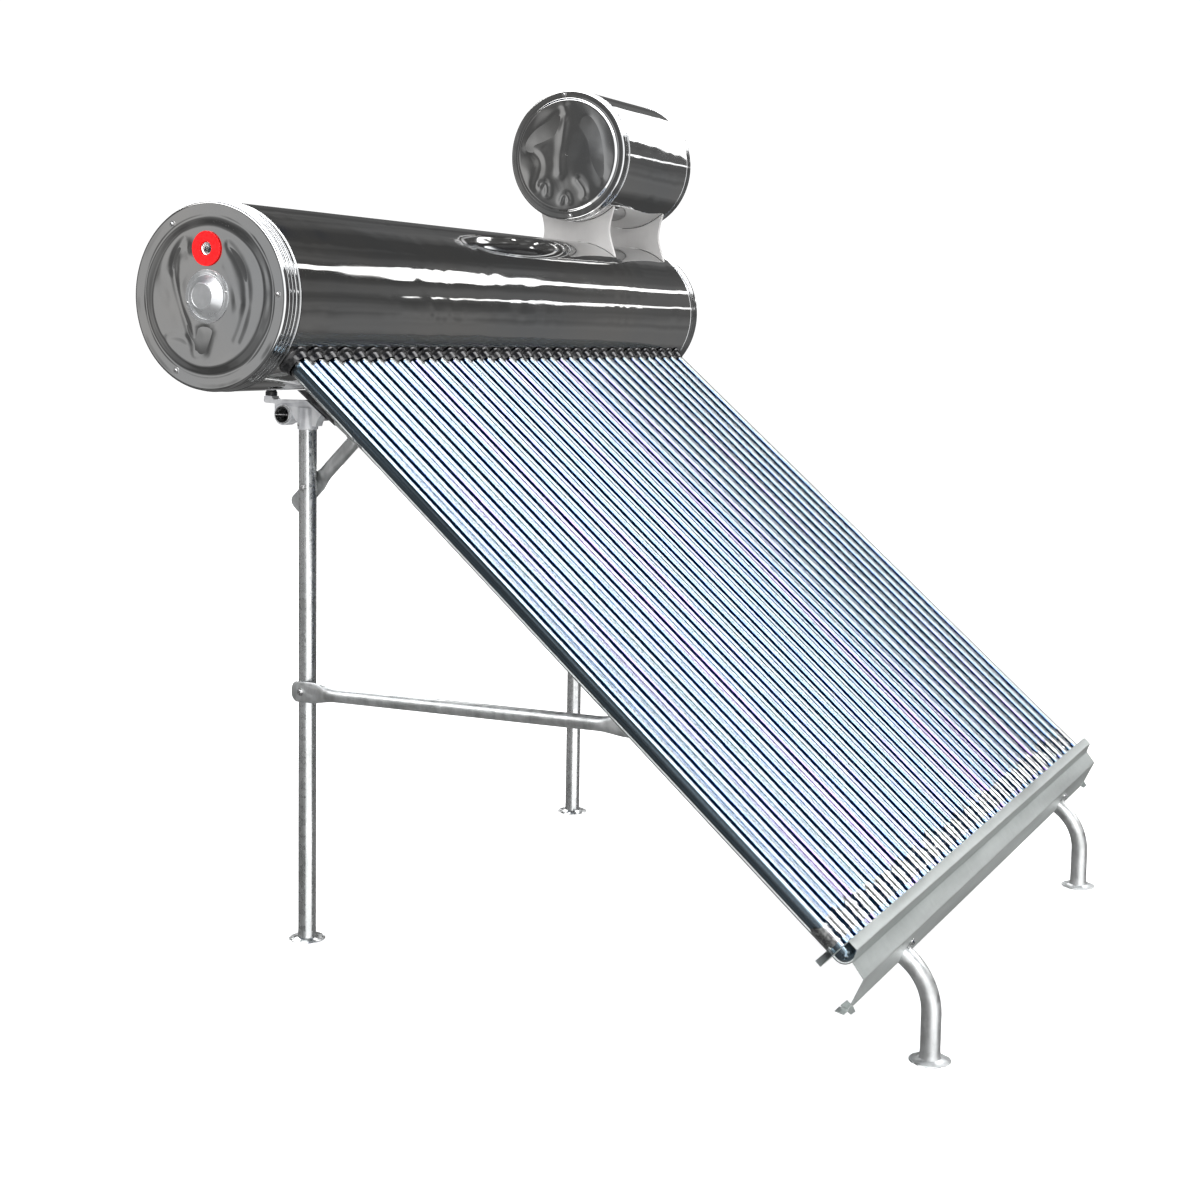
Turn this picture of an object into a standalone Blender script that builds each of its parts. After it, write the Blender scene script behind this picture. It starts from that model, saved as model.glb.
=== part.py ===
"""Evacuated-tube solar water heater with a feeder tank, on a four-legged tube frame.

Metres, +Z up.  The tank lies along X with its heater port at the -X end, and the tubes
slope down towards -Y.  Everything hangs on one empty that stands on the ground under the
middle of the tank, so each place below is measured from there: x along the tank, y from
the tank's axis towards the rear, z above the ground.
"""

import math

import bmesh
import bpy
from mathutils import Vector

# ---- driving dimensions -------------------------------------------------------------
GAP = 0.0004                 # clearance between pieces that touch on the real heater
ORIGIN_X = 0.0120            # ground point under the tank, from the middle of the footprint
ORIGIN_Y = 0.7870

TANK_Z = 1.752               # height of the main tank's axis
TANK_RADIUS = 0.235          # outer shell, a 470 mm tank
TANK_HALF_LENGTH = 1.2185    # to the faces of its end caps
TANK_SHEET = 0.0015
TANK_SIDES = 48
CAP_SKIRT = 0.068            # depth of the main tank's end caps
CAP_SIDES = 24
INNER_RADIUS = 0.180         # pressure-free water tank inside 55 mm of foam
INNER_HALF_LENGTH = 1.156

FEEDER_Z = 2.271             # height of the feeder tank's axis
FEEDER_RADIUS = 0.216
FEEDER_X_LEFT = 0.636
FEEDER_X_RIGHT = 1.178
FEEDER_SKIRT = 0.045

TUBE_COUNT = 36
TUBE_PITCH = 0.06328
TUBE_RADIUS = 0.029          # 58 mm evacuated tube
TUBE_LENGTH = 2.100
TUBE_WALL = 0.0028           # two glass walls taken together
TUBE_TOP = 0.102             # open end, measured down the slope from the tank's axis
TUBE_SIDES = 8
TILT = math.radians(40.4)    # slope of the tubes

PORT_RADIUS = 0.0525         # service hole in the left cap
OUTLET_RISE = 0.117          # hot-water outlet above the tank's axis
OUTLET_RADIUS = 0.0167
OUTLET_BORE = 0.0120

FRAME_X = 0.781              # the two side frames stand at -x and +x
LEG_RADIUS = 0.024
LEG_WALL = 0.002
LEG_Y = 0.017
LEG_TOP = 1.462
FOOT_Y = -1.759
FLANGE_RADIUS = 0.050
FLANGE_THICKNESS = 0.004
FRAME_SIDES = 12
RAIL_SLOPE = math.atan2(3, 4)
RAIL_PASS = (-0.018, 1.496)  # a point on the rail's axis below the tank
RAIL_TOP_Z = 1.5130
RAIL_BEND_RADIUS = 0.155
CROSS_TUBE_Y = 0.087
CROSS_TUBE_Z = 1.446
CROSS_TUBE_OVERHANG = 0.022

BRACE_RADIUS = 0.019
BRACE_WALL = 0.002
FLAT_HALF_WIDTH = 0.0285     # a 38 mm tube pressed flat is 57 mm wide
FLAT_HALF_THICKNESS = 0.0035
DIAGONAL_FLATS = (0.128, 0.062)  # pressed lengths at the leg and at the rail
MIDDLE_FLATS = (0.062, 0.120)

SADDLE_X = (0.715, 1.100)
SADDLE_PLATE = 0.003
SADDLE_FLANGE = 0.012        # half the flange's width along x
SADDLE_WAIST = 0.117

CHANNEL_HALF_LENGTH = 1.159
CHANNEL_SHEET = 0.0018

# ---- materials ----------------------------------------------------------------------
FINISHES = {
    "mirror_steel": ((0.42, 0.42, 0.43, 1.0), 0.10, 1.0),
    "liner_steel": ((0.55, 0.55, 0.54, 1.0), 0.35, 1.0),
    "galvanised": ((0.50, 0.53, 0.54, 1.0), 0.48, 0.85),
    "cast_metal": ((0.62, 0.63, 0.64, 1.0), 0.50, 0.80),
    "saddle_sheet": ((0.74, 0.73, 0.72, 1.0), 0.55, 0.30),
    "channel_sheet": ((0.44, 0.48, 0.48, 1.0), 0.50, 0.75),
    "tube_glass": ((0.02, 0.03, 0.09, 1.0), 0.05, 0.0),
    "socket_chrome": ((0.75, 0.74, 0.72, 1.0), 0.15, 1.0),
    "red_rubber": ((0.80, 0.02, 0.02, 1.0), 0.45, 0.0),
    "cover_grey": ((0.45, 0.46, 0.47, 1.0), 0.40, 0.2),
}


def clear_scene():
    for old in list(bpy.data.objects):
        bpy.data.objects.remove(old, do_unlink=True)


def finish_material(name, slot):
    colour, roughness, metallic = FINISHES[slot]
    material = bpy.data.materials.new(name)
    material.use_nodes = True
    shader = material.node_tree.nodes["Principled BSDF"]
    shader.inputs["Base Color"].default_value = colour
    shader.inputs["Roughness"].default_value = roughness
    shader.inputs["Metallic"].default_value = metallic
    return material


# ---- solids -------------------------------------------------------------------------
def place(mesh, name, parent, location=(0, 0, 0), turn=(0, 0, 0), slot="galvanised"):
    """Put a finished mesh into the scene as one named part."""
    part = bpy.data.objects.new(name, mesh)
    part.parent = parent
    part.location = location
    part.rotation_euler = turn
    bpy.context.collection.objects.link(part)
    if slot:
        part.data.materials.append(finish_material(name, slot))
    return part


def to_mesh(name, bm, smooth_angle=35):
    bmesh.ops.recalc_face_normals(bm, faces=bm.faces)
    mesh = bpy.data.meshes.new(name)
    bm.to_mesh(mesh)
    bm.free()
    mesh.shade_smooth()
    mesh.set_sharp_from_angle(angle=math.radians(smooth_angle))
    return mesh


def turned(name, profile, sides):
    """Turn a closed outline of (radius, z) points about Z; radius 0 closes on the axis."""
    bm = bmesh.new()
    rows = []
    for radius, z in profile:
        if radius == 0:
            rows.append([bm.verts.new((0, 0, z))] * sides)
        else:
            rows.append([bm.verts.new(on_circle(radius, side, sides, z)) for side in range(sides)])
    for row, following in zip(rows, rows[1:] + rows[:1]):
        for side in range(sides):
            after = (side + 1) % sides
            corners = [row[side], row[after], following[after], following[side]]
            distinct = [v for i, v in enumerate(corners) if v not in corners[:i]]
            if len(distinct) > 2:
                bm.faces.new(distinct)
    return to_mesh(name, bm)


def on_circle(radius, side, sides, z):
    angle = 2 * math.pi * side / sides
    return (radius * math.cos(angle), radius * math.sin(angle), z)


def ring(centre, slope, half_x, half_across, sides=FRAME_SIDES):
    """Points of an oval whose plane holds X and the direction across a path in YZ.

    slope is the path's direction in the YZ plane, as an angle from +Y.
    """
    across = Vector((0, -math.sin(slope), math.cos(slope)))
    points = []
    for side in range(sides):
        angle = 2 * math.pi * side / sides
        offset = Vector((half_x * math.cos(angle), 0, 0)) + half_across * math.sin(angle) * across
        points.append(Vector(centre) + offset)
    return points


def lofted(name, rings):
    """Skin a closed chain of rings: down the outside of a tube and back up its bore."""
    bm = bmesh.new()
    rows = [[bm.verts.new(point) for point in points] for points in rings]
    sides = len(rows[0])
    for row, following in zip(rows, rows[1:] + rows[:1]):
        for side in range(sides):
            after = (side + 1) % sides
            bm.faces.new((row[side], row[after], following[after], following[side]))
    return to_mesh(name, bm)


def extruded(name, outline, x_low, x_high):
    """Stretch a closed outline of (y, z) points from x_low to x_high."""
    bm = bmesh.new()
    low = [bm.verts.new((x_low, y, z)) for y, z in outline]
    high = [bm.verts.new((x_high, y, z)) for y, z in outline]
    bm.faces.new(low)
    bm.faces.new(high)
    for index in range(len(outline)):
        after = (index + 1) % len(outline)
        bm.faces.new((low[index], low[after], high[after], high[index]))
    return to_mesh(name, bm)


def shape_with(part, other_mesh, operation, location=(0, 0, 0), turn=(0, 0, 0)):
    """Join a guide solid to a part, or cut the part with it."""
    guide = place(other_mesh, "guide_" + other_mesh.name, part.parent, location, turn, slot=None)
    guide.hide_render = True
    guide.display_type = "WIRE"
    step = part.modifiers.new(operation.lower(), "BOOLEAN")
    step.operation = operation
    step.object = guide
    return step


def rod(name, radius, length, sides=FRAME_SIDES):
    """A plain cylinder from z = 0 to z = length, used to cut and to join."""
    return turned(name, [(0, 0), (radius, 0), (radius, length), (0, length)], sides)


ALONG_X = (0, math.pi / 2, 0)         # turns a part's own Z to +X
ALONG_MINUS_X = (0, -math.pi / 2, 0)  # turns a part's own Z to -X
DOWN_SLOPE = (math.pi / 2 + TILT, 0, 0)  # own Z runs down the tubes, own Y out of their plane


# ---- tubes --------------------------------------------------------------------------
def tube_x(index):
    return (index - (TUBE_COUNT - 1) / 2) * TUBE_PITCH


def tube_mesh():
    """Glass tube, open at the tank end, with a round tail."""
    tail = TUBE_TOP + TUBE_LENGTH
    dome_centre = tail - TUBE_RADIUS
    bore = TUBE_RADIUS - TUBE_WALL
    dome_steps = [math.radians(a) for a in (0, 32, 62)]
    outside = [(TUBE_RADIUS, TUBE_TOP)]
    outside += [(TUBE_RADIUS * math.cos(a), dome_centre + TUBE_RADIUS * math.sin(a)) for a in dome_steps]
    outside.append((0, tail))
    inside = [(bore, TUBE_TOP)]
    inside += [(bore * math.cos(a), dome_centre + bore * math.sin(a)) for a in dome_steps]
    inside.append((0, tail - TUBE_WALL))
    return turned("evacuated_tube", outside + inside[::-1], TUBE_SIDES)


def tube_cutter(name, start, stop, clearance):
    """One solid bar for each tube, to cut their row of holes."""
    bm = bmesh.new()
    radius = TUBE_RADIUS + clearance
    for index in range(TUBE_COUNT):
        rows = []
        for z in (start, stop):
            shift = Vector((tube_x(index), 0, 0))
            rows.append([bm.verts.new(Vector(on_circle(radius, side, TUBE_SIDES, z)) + shift)
                         for side in range(TUBE_SIDES)])
        bm.faces.new(rows[0])
        bm.faces.new(rows[1])
        for side in range(TUBE_SIDES):
            after = (side + 1) % TUBE_SIDES
            bm.faces.new((rows[0][side], rows[0][after], rows[1][after], rows[1][side]))
    return to_mesh(name, bm)


def make_tubes(root):
    mesh = tube_mesh()
    mesh.materials.append(finish_material("tube_glass", "tube_glass"))
    for index in range(TUBE_COUNT):
        name = f"evacuated_tube_{index + 1:02d}"
        place(mesh, name, root, (tube_x(index), 0, TANK_Z), DOWN_SLOPE, slot=None)


# ---- tanks --------------------------------------------------------------------------
def sleeve_profile(radius, wall, half_length):
    return [(radius - wall, -half_length), (radius, -half_length),
            (radius, half_length), (radius - wall, half_length)]


def cap_profile(radius, skirt, hole_radius):
    """A pressed end cap: raised centre disc, rounded rim and skirt, with its face at z = 0."""
    sheet = TANK_SHEET
    step = 0.004
    disc = radius - 0.056
    skirt_radius = radius - 0.0005
    outside = [(hole_radius, 0), (disc - step, 0), (disc, -step),
               (radius - 0.008, -step), (skirt_radius, -step - 0.008), (skirt_radius, -skirt)]
    inside = [(skirt_radius - sheet, -skirt), (skirt_radius - sheet, -step - 0.009),
              (radius - 0.009, -step - sheet), (disc - sheet, -step - sheet),
              (disc - step - sheet, -sheet), (hole_radius, -sheet)]
    return outside + inside


def make_main_tank(root):
    half_shell = TANK_HALF_LENGTH - CAP_SKIRT - GAP
    shell = place(turned("tank_shell", sleeve_profile(TANK_RADIUS, TANK_SHEET, half_shell), TANK_SIDES),
                  "tank_shell", root, (0, 0, TANK_Z), ALONG_X, "mirror_steel")
    shell_holes = tube_cutter("shell_holes", INNER_RADIUS + 0.02, TANK_RADIUS + 0.05, 0.0006)
    shape_with(shell, shell_holes, "DIFFERENCE", (0, 0, TANK_Z), DOWN_SLOPE)

    wall = TANK_SHEET
    end = INNER_HALF_LENGTH
    dish = 0.020
    half_profile = [(0, end), (0.12, end), (INNER_RADIUS, end - dish)]
    inner_half = [(0, end - wall), (0.12 - wall / 2, end - wall), (INNER_RADIUS - wall, end - dish - wall / 2)]
    outline = half_profile + [(r, -z) for r, z in half_profile[::-1]]
    bore = [(r, -z) for r, z in inner_half] + inner_half[::-1]
    inner = place(two_skins("inner_tank", outline, bore, CAP_SIDES),
                  "inner_tank", root, (0, 0, TANK_Z), ALONG_X, "liner_steel")
    inner_holes = tube_cutter("inner_holes", TUBE_TOP - 0.03, INNER_RADIUS + 0.03, 0.0006)
    shape_with(inner, inner_holes, "DIFFERENCE", (0, 0, TANK_Z), DOWN_SLOPE)
    outlet_way = rod("outlet_way", OUTLET_BORE, 0.05)
    shape_with(inner, outlet_way, "DIFFERENCE", (-end - 0.02, 0, TANK_Z + OUTLET_RISE), ALONG_X)

    left = place(turned("end_cap_left", cap_profile(TANK_RADIUS, CAP_SKIRT, PORT_RADIUS), CAP_SIDES),
                 "end_cap_left", root, (-TANK_HALF_LENGTH, 0, TANK_Z), ALONG_MINUS_X, "mirror_steel")
    socket_hole = rod("socket_hole", OUTLET_RADIUS + GAP, 0.06)
    shape_with(left, socket_hole, "DIFFERENCE",
               (-TANK_HALF_LENGTH - 0.03, 0, TANK_Z + OUTLET_RISE), ALONG_X)
    place(turned("end_cap_right", cap_profile(TANK_RADIUS, CAP_SKIRT, 0), CAP_SIDES),
          "end_cap_right", root, (TANK_HALF_LENGTH, 0, TANK_Z), ALONG_X, "mirror_steel")


def two_skins(name, outline, bore, sides):
    """A turned vessel whose outer and inner skins both close on the axis."""
    outer = bmesh.new()
    outer.from_mesh(open_skin(name + "_outside", outline, sides))
    bmesh.ops.recalc_face_normals(outer, faces=outer.faces)
    lining = bmesh.new()
    lining.from_mesh(open_skin(name + "_lining", bore, sides))
    bmesh.ops.recalc_face_normals(lining, faces=lining.faces)
    bmesh.ops.reverse_faces(lining, faces=lining.faces)
    mesh = bpy.data.meshes.new(name)
    lining.to_mesh(mesh)
    outer.from_mesh(mesh)
    outer.to_mesh(mesh)
    outer.free()
    lining.free()
    mesh.shade_smooth()
    mesh.set_sharp_from_angle(angle=math.radians(35))
    return mesh


def open_skin(name, points, sides):
    """Turn an outline that starts and ends on the axis, without closing it on itself."""
    bm = bmesh.new()
    rows = []
    for radius, z in points:
        if radius == 0:
            rows.append([bm.verts.new((0, 0, z))] * sides)
        else:
            rows.append([bm.verts.new(on_circle(radius, side, sides, z)) for side in range(sides)])
    for row, following in zip(rows, rows[1:]):
        for side in range(sides):
            after = (side + 1) % sides
            corners = [row[side], row[after], following[after], following[side]]
            distinct = [v for i, v in enumerate(corners) if v not in corners[:i]]
            bm.faces.new(distinct)
    mesh = bpy.data.meshes.new(name)
    bm.to_mesh(mesh)
    bm.free()
    return mesh


def make_outlet(root):
    start = -INNER_HALF_LENGTH - GAP
    stop = -TANK_HALF_LENGTH - 0.003
    profile = [(OUTLET_BORE, 0), (OUTLET_RADIUS, 0), (OUTLET_RADIUS, start - stop),
               (OUTLET_BORE, start - stop)]
    height = TANK_Z + OUTLET_RISE
    place(turned("outlet_socket", profile, FRAME_SIDES), "outlet_socket", root,
          (start, 0, height), ALONG_MINUS_X, "socket_chrome")
    hole = OUTLET_RADIUS + GAP
    ring_profile = [(hole, GAP), (0.043, GAP), (0.043, 0.0045), (0.040, 0.0070), (hole, 0.0070)]
    place(turned("outlet_seal_ring", ring_profile, 24), "outlet_seal_ring", root,
          (-TANK_HALF_LENGTH, 0, height), ALONG_MINUS_X, "red_rubber")


def make_heater_cover(root):
    """The plug-in cover over the electric heater's port; it pulls straight out along -X."""
    slide = bpy.data.objects.new("cover_slide", None)
    slide.parent = root
    slide.location = (-TANK_HALF_LENGTH, 0, TANK_Z)
    slide.rotation_euler = ALONG_MINUS_X
    bpy.context.collection.objects.link(slide)
    lip = PORT_RADIUS - 0.0008
    wall = 0.002
    outside = [(lip, -0.012), (lip, GAP), (0.066, GAP), (0.066, 0.0025), (0.0535, 0.0040),
               (0.0320, 0.0240), (0, 0.0240)]
    inside = [(0, 0.0220), (0.0310, 0.0220), (lip - wall, 0.0020), (lip - wall, -0.012)]
    place(turned("heater_port_cover", outside + inside, CAP_SIDES), "heater_port_cover", slide,
          slot="cover_grey")


def make_feeder_tank(root):
    middle = (FEEDER_X_LEFT + FEEDER_X_RIGHT) / 2
    half_shell = (FEEDER_X_RIGHT - FEEDER_X_LEFT) / 2 - FEEDER_SKIRT - GAP
    place(turned("feeder_tank_shell", sleeve_profile(FEEDER_RADIUS, TANK_SHEET, half_shell), TANK_SIDES),
          "feeder_tank_shell", root, (middle, 0, FEEDER_Z), ALONG_X, "mirror_steel")
    ends = (("feeder_cap_left", FEEDER_X_LEFT, ALONG_MINUS_X), ("feeder_cap_right", FEEDER_X_RIGHT, ALONG_X))
    for name, x, turn in ends:
        place(turned(name, cap_profile(FEEDER_RADIUS, FEEDER_SKIRT, 0), CAP_SIDES),
              name, root, (x, 0, FEEDER_Z), turn, "mirror_steel")


# ---- saddles between the tanks ------------------------------------------------------
def tank_arc(centre_z, radius, steps, upward):
    """Points on a tank's own facets, symmetrical about its top or its bottom line."""
    sign = 1 if upward else -1
    points = []
    for step in range(-steps, steps + 1):
        angle = 2 * math.pi * step / TANK_SIDES
        points.append((radius * math.sin(angle), centre_z + sign * radius * math.cos(angle)))
    return points


def make_saddles(root):
    half_steps = 5
    flange = 0.002
    lower_in = tank_arc(TANK_Z, TANK_RADIUS + 0.0006, half_steps, True)
    lower_out = tank_arc(TANK_Z, TANK_RADIUS + 0.0006 + flange, half_steps, True)
    upper_in = tank_arc(FEEDER_Z, FEEDER_RADIUS + 0.0006, half_steps, False)
    upper_out = tank_arc(FEEDER_Z, FEEDER_RADIUS + 0.0006 + flange, half_steps, False)
    foot = tank_arc(TANK_Z, TANK_RADIUS + 0.0006 + flange / 2, half_steps, True)
    crown = tank_arc(FEEDER_Z, FEEDER_RADIUS + 0.0006 + flange / 2, half_steps, False)
    waist_steps = 6
    for name, x in zip(("saddle_left", "saddle_right"), SADDLE_X):
        side = []
        for step in range(1, waist_steps):
            part_way = step / waist_steps
            y = foot[-1][0] * (1 - part_way) + crown[-1][0] * part_way
            z = foot[-1][1] * (1 - part_way) + crown[-1][1] * part_way
            inset = (max(foot[-1][0], crown[-1][0]) - SADDLE_WAIST) * math.sin(math.pi * part_way)
            side.append((y - inset, z))
        outline = foot + side + crown[::-1] + [(-y, z) for y, z in side[::-1]]
        half = SADDLE_PLATE / 2
        plate = place(extruded(name, outline, x - half, x + half), name, root, slot="saddle_sheet")
        lower = extruded(name + "_foot", lower_in + lower_out[::-1], x - SADDLE_FLANGE, x + SADDLE_FLANGE)
        upper = extruded(name + "_crown", upper_in + upper_out[::-1], x - SADDLE_FLANGE, x + SADDLE_FLANGE)
        shape_with(plate, lower, "UNION")
        shape_with(plate, upper, "UNION")


# ---- frame --------------------------------------------------------------------------
def hollow(name, stations, wall):
    """A tube through stations of (centre, slope, half_x, half_across), bored right through."""
    outside = [ring(centre, slope, half_x, across) for centre, slope, half_x, across in stations]
    bore = [ring(centre, slope, half_x - wall, across - wall)
            for centre, slope, half_x, across in stations]
    return lofted(name, outside + bore[::-1])


def flared_end(x, y, down):
    """Outer and bore rings of a foot: the tube's end is spread into a flat round flange."""
    bore = LEG_RADIUS - LEG_WALL
    outside = [ring((x, y, 0.018), down, LEG_RADIUS, LEG_RADIUS),
               ring((x, y, FLANGE_THICKNESS + 0.003), down, LEG_RADIUS + 0.005, LEG_RADIUS + 0.005),
               ring((x, y, FLANGE_THICKNESS), down, FLANGE_RADIUS, FLANGE_RADIUS),
               ring((x, y, 0), down, FLANGE_RADIUS, FLANGE_RADIUS)]
    return outside, [ring((x, y, 0), down, bore, bore)]


def make_rear_leg(root, name, x):
    down = -math.pi / 2
    bore = LEG_RADIUS - LEG_WALL
    outside, inside = flared_end(x, LEG_Y, down)
    top = ring((x, LEG_Y, LEG_TOP), down, LEG_RADIUS, LEG_RADIUS)
    top_bore = ring((x, LEG_Y, LEG_TOP), down, bore, bore)
    place(lofted(name, [top] + outside + inside + [top_bore]), name, root)


def rail_axis_y(z):
    return RAIL_PASS[0] + (z - RAIL_PASS[1]) / math.tan(RAIL_SLOPE)


def rail_stations(x):
    """The inclined rail: cut level under the tank, then straight, then bent down to its foot."""
    down_slope = RAIL_SLOPE + math.pi
    stretch = 1 / math.sin(RAIL_SLOPE)
    stations = [((x, rail_axis_y(RAIL_TOP_Z), RAIL_TOP_Z), -math.pi / 2, LEG_RADIUS, LEG_RADIUS * stretch)]
    bend = math.pi / 2 - RAIL_SLOPE
    centre_y = FOOT_Y + RAIL_BEND_RADIUS
    start_y = centre_y - RAIL_BEND_RADIUS * math.cos(bend)
    start_z = RAIL_PASS[1] + (start_y - RAIL_PASS[0]) * math.tan(RAIL_SLOPE)
    centre_z = start_z - RAIL_BEND_RADIUS * math.sin(bend)
    near_top = 0.12
    stations.append(((x, rail_axis_y(RAIL_TOP_Z - near_top), RAIL_TOP_Z - near_top),
                     down_slope, LEG_RADIUS, LEG_RADIUS))
    bend_steps = 5
    for step in range(bend_steps + 1):
        angle = bend * (1 - step / bend_steps)
        centre = (x, centre_y - RAIL_BEND_RADIUS * math.cos(angle),
                  centre_z + RAIL_BEND_RADIUS * math.sin(angle))
        slope = -math.pi / 2 - angle
        stations.append((centre, slope, LEG_RADIUS, LEG_RADIUS))
    return stations


def make_front_rail(root, name, x):
    stations = rail_stations(x)
    outside = [ring(*station) for station in stations]
    bore = [ring(centre, slope, half_x - LEG_WALL, across - LEG_WALL)
            for centre, slope, half_x, across in stations]
    foot, foot_bore = flared_end(x, FOOT_Y, -math.pi / 2)
    place(lofted(name, outside + foot + foot_bore + bore[::-1]), name, root)


def brace_stations(x, start, stop, flats, run_out):
    """A round tube with both ends pressed flat, from start to stop in the YZ plane."""
    run = Vector((stop[0] - start[0], stop[1] - start[1]))
    slope = math.atan2(run.y, run.x)
    along = run.normalized()
    length = run.length
    flat = (FLAT_HALF_THICKNESS, FLAT_HALF_WIDTH)
    tip = (FLAT_HALF_THICKNESS, FLAT_HALF_WIDTH * 0.55)
    full = (BRACE_RADIUS, BRACE_RADIUS)
    shoulder = 0.012
    first, last = flats
    places = [(0, tip), (shoulder, flat), (first, flat), (first + run_out, full),
              (length - last - run_out, full), (length - last, flat),
              (length - shoulder, flat), (length, tip)]
    stations = []
    for distance, (half_x, across) in places:
        centre = (x, start[0] + along.x * distance, start[1] + along.y * distance)
        stations.append((centre, slope, half_x, across))
    return stations


def make_braces(root, hand, side):
    inner_x = side * (FRAME_X - LEG_RADIUS - FLAT_HALF_THICKNESS - GAP)
    outer_x = side * (FRAME_X + LEG_RADIUS + FLAT_HALF_THICKNESS + GAP)
    diagonal = brace_stations(inner_x, (0.079, 1.191), (-0.163, 1.427), DIAGONAL_FLATS, 0.050)
    place(hollow("diagonal_brace_" + hand, diagonal, BRACE_WALL), "diagonal_brace_" + hand, root)
    middle = brace_stations(outer_x, (0.047, 0.695), (-1.090, 0.712), MIDDLE_FLATS, 0.080)
    place(hollow("mid_brace_" + hand, middle, BRACE_WALL), "mid_brace_" + hand, root)


def make_leg_bracket(root, hand, x):
    """Cast bracket: socket for the leg, eye for the cross tube, arm under the tank, rail gusset."""
    name = "leg_bracket_" + hand
    half_width = 0.015
    rail_under = LEG_RADIUS / math.cos(RAIL_SLOPE) + 0.001

    def under_rail(y):
        return (y, RAIL_PASS[1] + (y - RAIL_PASS[0]) * math.tan(RAIL_SLOPE) - rail_under)

    arm_top = 1.486
    outline = [(0.116, 1.419), (0.058, 1.419), (0.046, 1.432), (-0.0095, 1.417), (-0.018, 1.427),
               (-0.030, 1.434), under_rail(-0.056), under_rail(0.0065), (0.020, arm_top),
               (0.122, arm_top), (0.125, 1.4945), (0.151, 1.4945), (0.153, 1.477), (0.116, 1.475)]
    bracket = place(extruded(name, outline, x - half_width, x + half_width), name, root, slot="cast_metal")
    socket_low = 1.408
    socket = rod(name + "_socket", LEG_RADIUS + 0.0035, LEG_TOP + 0.005 - socket_low, 24)
    bore = rod(name + "_bore", LEG_RADIUS + GAP, LEG_TOP + GAP - 1.38, FRAME_SIDES)
    eye = rod(name + "_eye", LEG_RADIUS + GAP, 0.1, FRAME_SIDES)
    steps = (shape_with(bracket, socket, "UNION", (x, LEG_Y, socket_low)),
             shape_with(bracket, bore, "DIFFERENCE", (x, LEG_Y, 1.38)),
             shape_with(bracket, eye, "DIFFERENCE", (x - 0.05, CROSS_TUBE_Y, CROSS_TUBE_Z), ALONG_X))
    for step in steps:
        step.solver = "MANIFOLD"


def make_cross_tube(root):
    half = FRAME_X + CROSS_TUBE_OVERHANG
    profile = sleeve_profile(LEG_RADIUS, LEG_WALL, half)
    place(turned("cross_tube", profile, FRAME_SIDES), "cross_tube", root,
          (0, CROSS_TUBE_Y, CROSS_TUBE_Z), ALONG_X)


def thickened(points, sheet):
    """Outline of a folded sheet: the line of its outer face, offset inwards by its thickness."""
    corners = [Vector(point) for point in points]
    offset = []
    for index, corner in enumerate(corners):
        before = (corner - corners[index - 1]).normalized() if index else None
        after = (corners[index + 1] - corner).normalized() if index + 1 < len(corners) else None
        first = before or after
        second = after or before
        mitre = Vector((-first.y - second.y, first.x + second.x)).normalized()
        normal = Vector((-first.y, first.x))
        offset.append(corner + mitre * sheet / max(mitre.dot(normal), 0.3))
    return [tuple(c) for c in corners] + [tuple(c) for c in offset[::-1]]


def make_tail_channel(root):
    """Folded channel that holds the tubes' tails; its points are (height off the tubes, slope)."""
    fold = [(-0.042, 2.145), (-0.043, 2.161), (0.049, 2.165), (0.049, 2.192),
            (0.021, 2.203), (0.012, 2.245), (-0.041, 2.253)]
    outline = thickened(fold, CHANNEL_SHEET)
    channel = place(extruded("tail_channel", outline, -CHANNEL_HALF_LENGTH, CHANNEL_HALF_LENGTH),
                    "tail_channel", root, (0, 0, TANK_Z), DOWN_SLOPE, "channel_sheet")
    tail_holes = tube_cutter("tail_holes", 2.14, 2.175, 0.0006)
    shape_with(channel, tail_holes, "DIFFERENCE", (0, 0, TANK_Z), DOWN_SLOPE)
    for hand, x in (("left", -FRAME_X), ("right", FRAME_X)):
        notch_start = (x, rail_axis_y(0.45), 0.45)
        notch = rod("rail_notch_" + hand, LEG_RADIUS + 0.001, 0.40)
        shape_with(channel, notch, "DIFFERENCE", notch_start, (math.pi / 2 + RAIL_SLOPE, 0, 0))


def make_frame(root):
    for hand, side in (("left", -1), ("right", 1)):
        x = side * FRAME_X
        make_rear_leg(root, "rear_leg_" + hand, x)
        make_front_rail(root, "front_rail_" + hand, x)
        make_braces(root, hand, side)
        make_leg_bracket(root, hand, x)
    make_cross_tube(root)
    make_tail_channel(root)


def build():
    clear_scene()
    root = bpy.data.objects.new("ground_point", None)
    root.location = (ORIGIN_X, ORIGIN_Y, 0)
    bpy.context.collection.objects.link(root)
    make_main_tank(root)
    make_outlet(root)
    make_heater_cover(root)
    make_feeder_tank(root)
    make_saddles(root)
    make_frame(root)
    make_tubes(root)


build()
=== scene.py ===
"""Looks of the evacuated-tube solar water heater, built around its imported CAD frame.

Metres, +Z up, in the frame's own coordinates: the tanks lie along X with the service port at
the -X end, and the tubes slope down towards -Y.
"""
import math

import bmesh
import bpy
import numpy as np
from mathutils import Matrix, Vector, noise


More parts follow.
